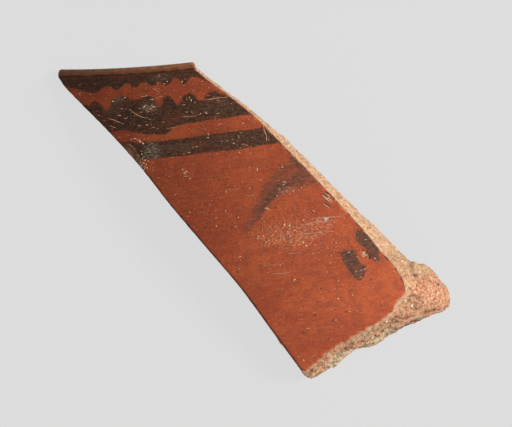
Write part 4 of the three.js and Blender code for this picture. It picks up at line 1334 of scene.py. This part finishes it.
def deposit(node, pixels, thick, seed, material):
    """A crust over an outline: as thick as its distance from the outline allows, its surface a noise of
    small lumps and pits. The values for olive and bloom are for the lime crust, which is all they reach."""
    outline = smooth_outline(pixels)
    place = patch_places(outline)
    inside = distance_inside(place, outline) + 0.25 * flat_noise(place, (1, 1), seed, 2)
    lumps = 0.8 + 0.25 * flat_noise(place, (0.6, 0.6), seed + 1, 2)
    base = SLIP_TOP - 0.02 + ripple(place)
    top = base + 0.04 + thick * smooth_step(inside, 0, 1.1) * lumps
    keep = np.all(corners_of(inside > 0), 0)
    points, faces, at = trimmed_coat(on_wall(place), top, base, keep)
    make_piece(node + "_heap", [node], points, faces, material, None, {
        "olive": near_line(place, CRUST_OLIVE, 0.3)[at],
        "bloom": near_line(place, CRUST_BLOOM, 0.28)[at],
    })


deposit("lime_crust", CRUST_OUTLINE, 0.05, 71, crust_material)
deposit("lime_speck", SPECK_OUTLINE, 0.25, 75, lime_material)


# A heap's points along the break and through the wall, and the heap's height from which a cell is kept
SOIL_POINTS = (91, 25)
SOIL_LIMIT = -0.15


def soil(node, along, through, seed):
    """Soil on the bottom break, between shares along it and through the wall: the clay's own relief, heaped
    towards the middle and broken up by noise."""
    u = np.linspace(*along, SOIL_POINTS[0])[:, None]
    w = np.linspace(*through, SOIL_POINTS[1])[None, :]
    grid = wall_point(u, 1.0, w)
    rise, fall = (np.sin(np.pi * np.linspace(0, 1, points)) ** 0.5 for points in SOIL_POINTS)
    heap = rise[:, None] * fall + 0.55 * noise(grid, 2.4, seed, 3) - 0.45
    relief = break_relief(grid)
    top = relief + 0.3 * np.clip(heap, -0.3, 1) + 0.05 * noise(grid, 0.7, seed + 5, 2) * (heap > 0)
    keep = np.any(corners_of(heap > SOIL_LIMIT), 0)
    points, faces, at = trimmed_coat(grid, top, relief - 0.2, keep)
    # Painted shade, partly a darker stain: the soil darkens towards the thick corner and the break's lower
    # edge by the inner face, where it turns away into shadow.
    stain_and_shade = smooth_step(u, 0.5, 0.68) * smooth_step(w, 0.45, 0.7)
    make_piece(node + "_heap", [node], points, faces, soil_material, None, {"stain_and_shade": stain_and_shade[at]})


soil("soil_crust", (0.38, 0.88), (0.4, 0.9), 81)
soil("soil_film", (0.07, 0.34), (0.24, 0.76), 85)


# Grit: the seven coarse grains at their solids' places, and small grains scattered over the breaks

def tube_faces(numbers):
    """The four-sided faces between rings of points, from the points' numbers, one row for each ring."""
    after = np.roll(numbers, -1, 1)
    return np.stack([numbers[:-1], numbers[1:], after[1:], after[:-1]], -1).reshape(-1, 4)


def ball(steps, seed, dents):
    """A lumpy ball of unit radius over a grid of latitudes and longitudes, its poles single points: the
    radius follows noise over the sphere."""
    rings, sectors = steps
    polar = np.linspace(0, np.pi, rings + 1)[1:-1, None]
    around = np.linspace(0, 2 * np.pi, sectors, endpoint=False)
    body = np.stack([np.sin(polar) * np.cos(around), np.sin(polar) * np.sin(around),
                     np.cos(polar) + 0 * around], -1).reshape(-1, 3)
    points = np.concatenate([body, [[0, 0, 1], [0, 0, -1]]])
    points = points * (1 + dents * noise(points + seed, 0.9, seed, 2))[:, None]
    numbers = np.arange((rings - 1) * sectors).reshape(rings - 1, sectors)
    after = np.roll(numbers, -1, 1)
    quads = tube_faces(numbers)
    top, foot = len(body), len(body) + 1
    caps = np.concatenate([
        np.stack([np.full(sectors, top), numbers[0], after[0]], -1),
        np.stack([np.full(sectors, foot), after[-1], numbers[-1]], -1),
    ])
    return points, quads, caps


# How far a named grain reaches from the middle of its node's box, as a share of the box
GRAIN_SHARE = 0.4


def in_order(count):
    """Whole-number cells in a row, one for each of a count of things."""
    return np.arange(count)[:, None] * np.array([[1, 0, 0]])


GRIT = {"pale_grit": pale_grit_material, "dark_grit": dark_grit_material, "red_grit": red_grit_material}
for slot, nodes in (
    ("pale_grit", ("white_grit_1", "white_grit_2", "yellow_grit")),
    ("dark_grit", ("dark_grit_1", "dark_grit_2", "dark_grit_3")),
    ("red_grit", ("red_grit",)),
):
    for node in nodes:
        low, high = (np.array(corner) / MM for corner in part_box(node))
        form, quads, caps = ball((16, 24), len(node) + ord(node[-1]), 0.34)
        points = (low + high) / 2 + form * (high - low) * GRAIN_SHARE
        make_piece(node.replace("grit", "grain"), [node], points, [quads, caps], GRIT[slot])


def turned_by(x, y, angle):
    """Rows of points of a plane, each row turned by its own angle: the turn's sines and cosines."""
    cos, sin = np.cos(angle)[:, None], np.sin(angle)[:, None]
    return np.stack([x * cos - y * sin, x * sin + y * cos], -1)


# How deep a small grain sinks into the break, as a share of its size. How squarely a point has to face the
# camera to show, and how many pixels further off a point counts that doesn't
GRAIN_SINK = 0.45
FACING, HIDDEN_AWAY = 0.1, 99


def set_grains(name, slot, pick, size, seed):
    """Small grains half sunk in the breaks: each is the same small ball, stretched, turned and placed at a
    picked point of the breaks."""
    points, normals = break_points
    count = len(pick)
    order = in_order(count)
    form, quads, caps = ball((4, 6), seed, 0.2)
    angle = 2 * np.pi * hashed(order, seed + 1)
    shape = 0.7 + 0.6 * np.stack([hashed(order, seed + 3 + axis) for axis in range(3)], -1)
    spun = form[None] * shape[:, None] * size[:, None, None]
    spun[..., :2] = turned_by(spun[..., 0], spun[..., 1], angle)
    centres = points[pick] - normals[pick] * size[:, None] * GRAIN_SINK
    moved = (centres[:, None] + spun).reshape(-1, 3)
    steps = (np.arange(count) * len(form))[:, None, None]
    make_piece(name, [], moved, [(quads + steps).reshape(-1, 4), (caps + steps).reshape(-1, 3)],
               GRIT[slot])


def scatter(name, slot, count, sizes, seed):
    """Grains at points of the breaks that hashed numbers pick, most of them of the smaller sizes."""
    order = in_order(count)
    pick = (hashed(order, seed) * len(break_points[0])).astype(int)
    set_grains(name, slot, pick, blend(*sizes, hashed(order, seed + 2) ** 2.5), seed)


def show_grains(name, slot, spots, seed):
    """Grains at photograph pixels: each at the nearest point of the breaks that faces the camera."""
    points, normals = break_points
    at = pixels_of((points - SHIFT) @ REST)
    hidden = normals @ (REST @ BOWL_TO_VIEW[2]) < FACING
    away = np.linalg.norm(at - np.array(spots)[:, None, :2], axis=-1) + HIDDEN_AWAY * hidden
    set_grains(name, slot, away.argmin(1), np.array(spots)[:, 2], seed)


scatter("small_white_grains", "pale_grit", 260, (0.08, 0.24), 101)
scatter("small_dark_grains", "dark_grit", 260, (0.08, 0.24), 111)
scatter("small_red_grains", "red_grit", 120, (0.08, 0.22), 121)
# x and y in photograph pixels and the size in millimetres
show_grains("pale_grains", "pale_grit", [
    (401.5, 261.5, 0.42), (404.8, 301.2, 0.42), (420.5, 276.5, 0.3), (403.5, 267.5, 0.22),
    (393, 252.5, 0.22), (416, 292, 0.25), (410, 285, 0.2), (372.5, 338, 0.3), (355, 347.5, 0.28),
    (338, 356, 0.3), (326, 362, 0.26), (347, 352, 0.22), (388, 329.5, 0.25), (314, 376, 0.3),
    (420, 300, 0.2), (433, 289, 0.22),
], 161)
show_grains("dark_grains", "dark_grit", [
    (428, 312, 0.25), (419.5, 297, 0.25), (435, 312, 0.2), (405, 279, 0.18), (424, 286, 0.18),
    (412, 308, 0.2), (403, 315, 0.28), (397, 319, 0.25), (391, 325, 0.28), (384, 331, 0.25),
    (376, 336, 0.25), (368, 342, 0.22), (359, 345, 0.22), (349, 350, 0.22), (341, 354, 0.25),
    (331, 359, 0.22), (320, 366, 0.25), (441, 310, 0.2), (399, 306, 0.18), (415, 303, 0.18),
    (421, 308, 0.2), (437, 300, 0.15), (398, 258, 0.16), (386, 246, 0.15),
], 171)


# Flecks and scratches on the face, pale where the slip or paint is gone, and dark marks among them, most of
# the dark lines painted shade in the gouges

# A fleck: x and y in photograph pixels, half length, half width, and degrees of lean down to the right
FLECKS = [
    (207.8, 134, 1.2, 0.8, 10), (207.9, 137.8, 1.3, 1, 0), (232.6, 139.7, 1.6, 0.7, -5),
    (233.1, 143.5, 1.8, 1, 5), (238.6, 137.3, 1.4, 0.6, -30), (243, 144.5, 1.2, 0.5, -10),
    (247, 145.5, 1, 0.5, 20), (251.5, 146.5, 1.1, 0.5, -15), (268.9, 137.8, 1, 0.8, 0),
    (240, 148, 0.8, 0.8, 0), (225.7, 191.6, 0.7, 2, 0), (225.2, 211.2, 0.6, 2, 20),
    (257, 170.2, 0.5, 2.8, 15), (281.9, 167.2, 0.9, 1.1, 10), (260.8, 180.2, 1, 1, 0),
    (278.5, 180.5, 0.7, 0.8, 0), (285.4, 183, 1.4, 0.8, -30), (215.8, 218, 0.8, 0.8, 0),
    (215.8, 226, 1.2, 0.8, 0), (237.8, 217.5, 1.5, 0.7, 0), (266.7, 208.8, 3, 0.7, 8),
    (269.9, 226.8, 0.9, 0.9, 0), (274.1, 226.4, 1.6, 1.2, -40), (284, 224.6, 0.7, 2.4, -5),
    (289, 225.5, 1, 1.4, 0), (280.4, 235.6, 1, 1.2, 0), (282.5, 238, 0.9, 0.9, 0),
    (302.6, 242.3, 1.4, 1, 20), (305.8, 245.6, 1.6, 1.3, 30), (335.4, 242.3, 1.6, 1, 35),
    (298.3, 244.6, 1.1, 0.9, 0), (289, 242.8, 1.1, 1.1, 0), (265, 242.5, 1.2, 1.4, 0),
    (268, 246, 0.9, 0.7, 0), (252, 235, 0.7, 1.4, 25), (258, 237, 1.5, 1.1, -10),
    (294, 280, 1.6, 0.8, -25), (238.3, 269, 0.8, 1.4, 30), (326.8, 272.1, 1, 0.8, 0),
    (352.3, 295.3, 0.9, 0.9, 0), (338, 298.5, 1.8, 0.8, 40), (303.6, 360.9, 1, 1.3, 0),
    (335.2, 320.5, 2, 1.7, 20), (134, 138.4, 2.4, 0.6, -5), (138.5, 139.8, 2, 0.6, 10),
    (143.5, 138.8, 1.6, 0.5, -10), (130.5, 139.4, 1.5, 0.5, 0), (337.8, 280.4, 1.6, 0.8, 20),
    (301.4, 187.4, 1.1, 0.7, -15), (293, 191.2, 1, 0.6, -20), (286.4, 190.4, 1.1, 0.7, -20),
    (276.6, 195.8, 1.1, 0.8, -20), (281.6, 192.6, 0.8, 0.6, 0), (279, 188.5, 0.8, 0.7, 0),
    (290.3, 193.4, 0.7, 0.5, -20), (298.3, 190.4, 0.8, 0.5, -10), (284, 181.8, 1, 0.9, 0),
    (283.3, 184.6, 1.4, 0.9, 10), (307.5, 183.5, 0.9, 0.7, 0), (139, 141.2, 2.2, 1.3, 20),
    (142.5, 143.2, 1.8, 1.1, 30), (136.5, 139.6, 1.3, 1, 0), (140.5, 151, 0.8, 0.9, 0),
    (141.5, 154, 1, 0.8, 40), (143.4, 156.6, 1.3, 0.9, 20), (142, 158.8, 0.8, 1, 0),
    (144.3, 160.4, 1.2, 0.9, 30), (143.2, 163, 1.2, 1.1, 0), (145.8, 164.2, 1.2, 0.8, 40),
    (144.4, 166.6, 1.4, 1.1, 10), (146.6, 168, 0.9, 0.9, 0), (143.4, 169.6, 1.1, 0.8, 0),
    (147.8, 161, 0.9, 0.7, 0), (257, 239, 1.4, 0.8, -10), (262, 219, 1.2, 0.8, 0),
    (290, 236, 1.3, 0.8, 0), (297, 240, 1.2, 0.8, 10), (311, 238, 1.4, 0.7, 0), (276, 241, 1, 0.9, 0),
    (271, 236, 1.1, 0.7, 0), (300, 232, 1.3, 0.7, -5), (144.5, 106, 2.2, 0.6, -30),
    (148, 112, 1.6, 0.5, -30), (140.5, 112.5, 1.8, 0.5, -25), (182, 82, 1.1, 1.1, 0),
    (158.6, 75.8, 0.8, 1.7, 10), (167, 81.5, 1.5, 0.8, 0), (191.5, 112.2, 1.1, 0.9, 0),
    (206.3, 113.6, 1, 0.9, 0), (124.6, 97.3, 0.9, 0.9, 0), (112, 101, 1, 1, 0),
    (193.5, 90.5, 1.2, 0.8, 0), (152.5, 106.5, 2.2, 0.7, 40), (154, 107, 2, 0.6, -45),
    (150, 109, 1.7, 0.6, -10), (146, 110.5, 1.8, 0.5, -30), (143.5, 107, 1.6, 0.5, -15),
    (189.5, 97.5, 0.7, 2.2, 15), (191, 100.5, 0.7, 2, -10), (194.5, 102.5, 1.3, 0.6, 30),
    (182.5, 169.5, 0.9, 1.4, 30), (184, 173, 1.7, 0.7, 50), (187, 176, 1.6, 0.7, 45),
    (190, 178.5, 1, 1.3, 10), (186, 171.5, 0.7, 1.8, 0), (348.5, 252.4, 2.4, 0.8, 5),
    (356, 271.8, 2.2, 0.6, -20), (360, 270.4, 2, 0.7, -10), (364.5, 269.3, 1.5, 0.6, -20),
    (361, 277.5, 0.7, 1.4, 20), (375, 258.5, 0.9, 1.6, 20), (376.5, 261.2, 1, 0.8, 0),
    (365.3, 239.6, 2, 0.5, -8), (363.4, 252.6, 1.3, 0.9, 20), (365.6, 254.8, 0.9, 0.8, 0),
    (367.6, 256.6, 1.2, 0.7, 40),
]
DARK_FLECKS = [
    (320.9, 288.6, 1.1, 1.1, 0), (318.7, 302.4, 1, 1.2, 0), (315.8, 315.5, 1, 1.1, 0),
    (335.6, 320.9, 0.7, 0.6, 0), (238.3, 272, 0.9, 1.6, 10), (276, 208, 0.8, 0.8, 0),
    (214, 178, 0.9, 0.9, 0), (292, 262, 0.9, 0.9, 0), (346, 312, 0.8, 0.8, 0), (304, 333, 0.9, 0.9, 0),
    (246, 258, 0.8, 0.8, 0), (366.8, 253.2, 0.8, 0.6, 30), (364, 255.4, 0.7, 0.6, 0),
]
# A scratch or gouge: a line through photograph pixels
SCRATCHES = [
    ((128.5, 108.8), (136, 114.5), (142, 117.4), (147.6, 118)),
    ((106.5, 117.4), (115, 120.5), (123.7, 124)), ((108.4, 125), (115, 127.5)),
    ((203, 100), (216, 98.6), (230, 97)), ((180, 117), (188, 116.8), (197, 116)),
    ((263.3, 126.3), (264.2, 131.6), (266.6, 136.3), (266, 142)),
    ((310, 218.9), (326, 217.6), (343.5, 216)), ((305, 223.7), (322, 221.6), (337.8, 220.3)),
    ((289, 235.2), (312, 233), (334, 231.3)), ((287, 253.8), (294, 253.3), (301.4, 252.9)),
    ((299.5, 226), (311, 223.2), (322.5, 220.8)), ((328.6, 223.4), (332, 223.2), (337, 222.2)),
    ((309, 358), (315, 355.5)), ((166, 128.8), (177, 127)), ((226, 190), (240, 188.6)),
    ((245, 196), (256, 195)), ((262, 266), (283, 264)), ((270, 274), (290, 272.6)),
    ((197, 213), (206, 212)), ((127.2, 143.3), (131, 145.4), (134, 148.6), (135.8, 152.4)),
    ((302, 211), (309, 216)),
]
# The gouges are bared pale clay, with painted highlight on their lit walls.
GOUGES = [
    ((322.2, 195.2), (326.5, 199.2), (330.7, 202.6)), ((327, 197.6), (333, 202.4)),
    ((325, 193.3), (329.6, 196.9)), ((323.1, 204.1), (326, 206), (329.4, 208)),
]
# The first three dark lines are painted shade on the gouges' far walls; the last is a dark line by the lime
# crust.
DARK_SCRATCHES_AND_GOUGE_SHADE = [
    ((322.6, 193.7), (326.5, 197.4), (330.2, 200.6), (333.2, 201.8)), ((325, 203.2), (330.9, 206.7)),
    ((325.5, 191.5), (329.5, 195.2)), ((128, 143), (133, 146.5), (137.5, 152), (141, 160), (142.5, 165)),
]
# How far the marks' rims are lifted off the wall
MARK_LIFT = SLIP_TOP + 0.045

# A lens's points at its rim, and all its points. What a fleck's pixel gives its length and its width, in
# millimetres, how many degrees the fleck is turned further, and how far flecks and dashes rise and sink
RIM_POINTS = 8
LENS_POINTS = RIM_POINTS + 2
FLECK_LENGTH, FLECK_WIDTH, FLECK_TURN = 0.22, 0.17, 8
FLECK_HEIGHT, DASH_HEIGHT = 0.035, 0.02

# A ribbon's rings, the points of a ring, and how far its middle rises and sinks
RIBBON_RINGS, RING_POINTS = 25, 4
RIBBON_POINTS = RIBBON_RINGS * RING_POINTS
RIBBON_RISE, RIBBON_SINK = 0.02, 0.03


def lens_batch(place, half_length, half_width, lean, height):
    """Low lenses on the face, with points round each and one above and one below its middle: their rims are
    ovals made uneven by hashed numbers."""
    count = len(place)
    around = np.linspace(0, 2 * np.pi, RIM_POINTS, endpoint=False)
    ring = np.arange(RIM_POINTS)
    order = np.stack(np.broadcast_arrays(np.arange(count)[:, None], ring, 0), -1)
    ragged = 0.55 + 0.8 * hashed(order, 131)
    along = half_length[:, None] * np.cos(around) * ragged
    across = half_width[:, None] * np.sin(around) * ragged
    rim = place[:, None] + turned_by(along, across, lean)
    spots = np.concatenate([rim, place[:, None], place[:, None]], 1)
    points = on_wall(spots, 0, MARK_LIFT + np.array([0.0] * RIM_POINTS + [height, -height]))
    after = np.roll(ring, -1)
    caps = np.concatenate([np.stack([ring * 0 + RIM_POINTS, after, ring], -1),
                           np.stack([ring * 0 + RIM_POINTS + 1, ring, after], -1)])
    faces = (caps[None] + (np.arange(count) * LENS_POINTS)[:, None, None]).reshape(-1, 3)
    return to_rest(points.reshape(-1, 3)), faces


def make_flecks(name, flecks, material):
    """The flecks that the photograph shows, each at its place."""
    x, y, half_length, half_width, lean = np.array(flecks).T
    place = place_at(np.stack([x, y], -1))
    points, faces = lens_batch(place, half_length * FLECK_LENGTH, half_width * FLECK_WIDTH,
                               np.radians(lean + FLECK_TURN), FLECK_HEIGHT)
    tone = np.repeat(hashed(in_order(len(x)), 135), LENS_POINTS)
    make_piece(name, [], points, faces, material, None, {"tone": tone})


def make_dashes(tries):
    """Small pale dashes where the face is rubbed: hashed places, kept more often where it is scuffed, most of
    them long in the rim's direction."""
    share = np.stack([hashed(in_order(tries), 141 + n) for n in range(6)])
    place = painted_face(0.02 + 0.95 * share[0], 0.02 + 0.96 * share[1])
    banded = smooth_step(place[:, 1], 2, 5) * (1 - smooth_step(place[:, 1], 21, 23))
    likely = 0.01 + 0.62 * scuff_at(place) ** 2.2 + 0.05 * banded
    kept = share[2] < likely
    share = share[:, kept]
    lean = (share[4] - 0.5) * np.where(share[5] < 0.82, 0.4, 5)
    long, wide = 0.13 + 0.48 * share[3] ** 3, 0.05 + 0.055 * share[4]
    points, faces = lens_batch(place[kept], long, wide, lean, DASH_HEIGHT)
    make_piece("pale_dashes", [], points, faces, dash_material, None,
               {"tone": np.repeat(share[2] / likely[kept], LENS_POINTS)})


def make_scratches(name, lines, material, lift, half_width):
    """Thin lines: each is a flat closed ribbon, narrowed at both ends, and noise makes its line waver."""
    points, faces = [], []
    for pixels in lines:
        line = place_at(pixels)
        run = np.concatenate([[0], np.cumsum(np.linalg.norm(np.diff(line, axis=0), axis=-1))])
        share = np.linspace(0, run[-1], RIBBON_RINGS)
        path = np.stack([np.interp(share, run, line[:, axis]) for axis in (0, 1)], -1)
        path[:, 1] += 0.06 * flat_noise(path, (1.5, 1.5), 151)
        along = np.gradient(path, axis=0)
        across = np.stack([-along[:, 1], along[:, 0]], -1) / np.linalg.norm(along, axis=-1, keepdims=True)
        wide = half_width * np.sin(np.pi * np.linspace(0.02, 0.98, RIBBON_RINGS)) ** 0.5
        wide = (wide * (1 + 0.5 * flat_noise(path, (0.6, 0.6), 152, 2)))[:, None]
        sides = ((1, 0), (0, RIBBON_RISE), (-1, 0), (0, -RIBBON_SINK))
        rings = [on_wall(path + across * wide * out, 0, lift + rise) for out, rise in sides]
        numbers = np.arange(RIBBON_POINTS).reshape(RIBBON_RINGS, RING_POINTS)
        closed = np.concatenate([tube_faces(numbers), [numbers[0], numbers[-1][::-1]]])
        faces.append(closed + RIBBON_POINTS * len(points))
        points.append(np.stack(rings, 1).reshape(-1, 3))
    tone = np.repeat(np.linspace(0.3, 0.7, len(lines)), RIBBON_POINTS)
    make_piece(name, [], to_rest(np.concatenate(points)), np.concatenate(faces), material, None,
               {"tone": tone})


make_flecks("pale_flecks", FLECKS, fleck_material)
make_flecks("dark_flecks", DARK_FLECKS, dark_mark_material)
make_dashes(5400)
make_scratches("pale_scratches", SCRATCHES, dash_material, MARK_LIFT, 0.085)
# Dark lines, most of them painted shade in the gouges.
make_scratches("dark_scratches_and_gouge_shade", DARK_SCRATCHES_AND_GOUGE_SHADE, dark_mark_material, MARK_LIFT - 0.01, 0.12)
make_scratches("pale_gouges", GOUGES, fleck_material, MARK_LIFT, 0.14)


# The camera, at the photograph's angle: its axes are the view's, carried to the sherd's rest. It looks at the
# middle of the photograph's frame, as deep as the painted face's middle is.

CAMERA_DISTANCE = 1800
SENSOR_WIDTH = 36
view_axes = REST @ BOWL_TO_VIEW.T
depth_middle = (BOWL_TO_VIEW @ on_wall(MIDDLE) + BOWL_AT - RISE_AXIS * MIDDLE[1])[2]
target_bowl = BOWL_TO_VIEW.T @ (np.array([0, 0, depth_middle]) - BOWL_AT + RISE_AXIS * MIDDLE[1])
camera_point = to_rest(target_bowl) + view_axes[:, 2] * CAMERA_DISTANCE
camera_data = bpy.data.cameras.new("camera")
camera_data.sensor_width = SENSOR_WIDTH
camera_data.lens = SENSOR_WIDTH * CAMERA_DISTANCE / (FRAME_WIDTH * PIXEL)
camera_data.clip_end = 20
camera = show("camera", camera_data)
camera.matrix_world = Matrix([(*view_axes[r], camera_point[r] * MM) for r in range(3)] + [(0, 0, 0, 1)])
bpy.context.scene.camera = camera


# The floor, the lamps and the world

# Which way the lamps' upper edges point, how far the floor reaches and how far below the sherd it lies in
# metres, the level and share of its glow, and the world's level and strength
LAMP_TOP = (0, 0.6, 0.8)
FLOOR_REACH, FLOOR_DROP = 4, 2e-5
FLOOR_GLOW, GLOW_SHARE = 0.712, 0.94
WORLD_COLOR, WORLD_STRENGTH = 0.73, 0.36


def area_lamp(name, direction, distance, size, power):
    """A square lamp that shines on the sherd from a direction in the view's axes."""
    towards = view_axes @ (np.array(direction) / np.linalg.norm(direction))
    across = np.cross(LAMP_TOP, towards)
    rise = np.cross(towards, across)
    length = np.linalg.norm(across)
    data = bpy.data.lights.new(name, "AREA")
    data.size = size
    data.energy = power
    lamp = show(name, data)
    lamp.location = towards * distance
    turn = np.stack([across / length, rise / length, towards], 1)
    lamp.rotation_euler = Matrix(turn.tolist()).to_euler()


area_lamp("key_lamp", (0.85, 0.15, 0.5), 1.2, 0.45, 21)
area_lamp("fill_lamp", (0.45, -0.85, 0.3), 1.4, 0.6, 8)


def make_floor_material():
    """Pale paper. What the camera sees of it is mostly its own glow, so that shadows on it stay pale."""
    material, tree, shader = new_material("pale_floor", 0.2)
    fibres = tree.noise(tree.spot(), 900, 3)
    color = tree.tinted((0.715, 0.715, 0.715), (fibres, (0.3, 0.7), (0.735, 0.735, 0.735)))
    wire(tree, shader, color, 0.9, fibres, 0.00002)
    glow = tree.node("ShaderNodeEmission", {"Color": rgba([FLOOR_GLOW] * 3), "Strength": 1.0})
    paths = tree.node("ShaderNodeLightPath").outputs
    seen = tree.math("MAXIMUM", paths["Is Camera Ray"], paths["Is Glossy Ray"])
    parts = {0: tree.times(seen, GLOW_SHARE), 1: shader.outputs[0], 2: glow.outputs[0]}
    both = tree.node("ShaderNodeMixShader", parts)
    end = material.node_tree.nodes["Material Output"]
    material.node_tree.links.new(both.outputs[0], end.inputs["Surface"])
    return material


floor_mesh = bpy.data.meshes.new("floor")
floor_corners = [
    (x * FLOOR_REACH, y * FLOOR_REACH, -FLOOR_DROP) for x, y in ((-1, -1), (1, -1), (1, 1), (-1, 1))
]
floor_mesh.from_pydata(floor_corners, [], [(0, 1, 2, 3)])
floor_mesh.materials.append(make_floor_material())
floor = show("floor", floor_mesh)

world = bpy.data.worlds.new("studio")
world.use_nodes = True
background = world.node_tree.nodes["Background"].inputs
background["Color"].default_value = rgba([WORLD_COLOR] * 3)
background["Strength"].default_value = WORLD_STRENGTH
bpy.context.scene.world = world
bpy.context.scene.view_settings.view_transform = "Standard"
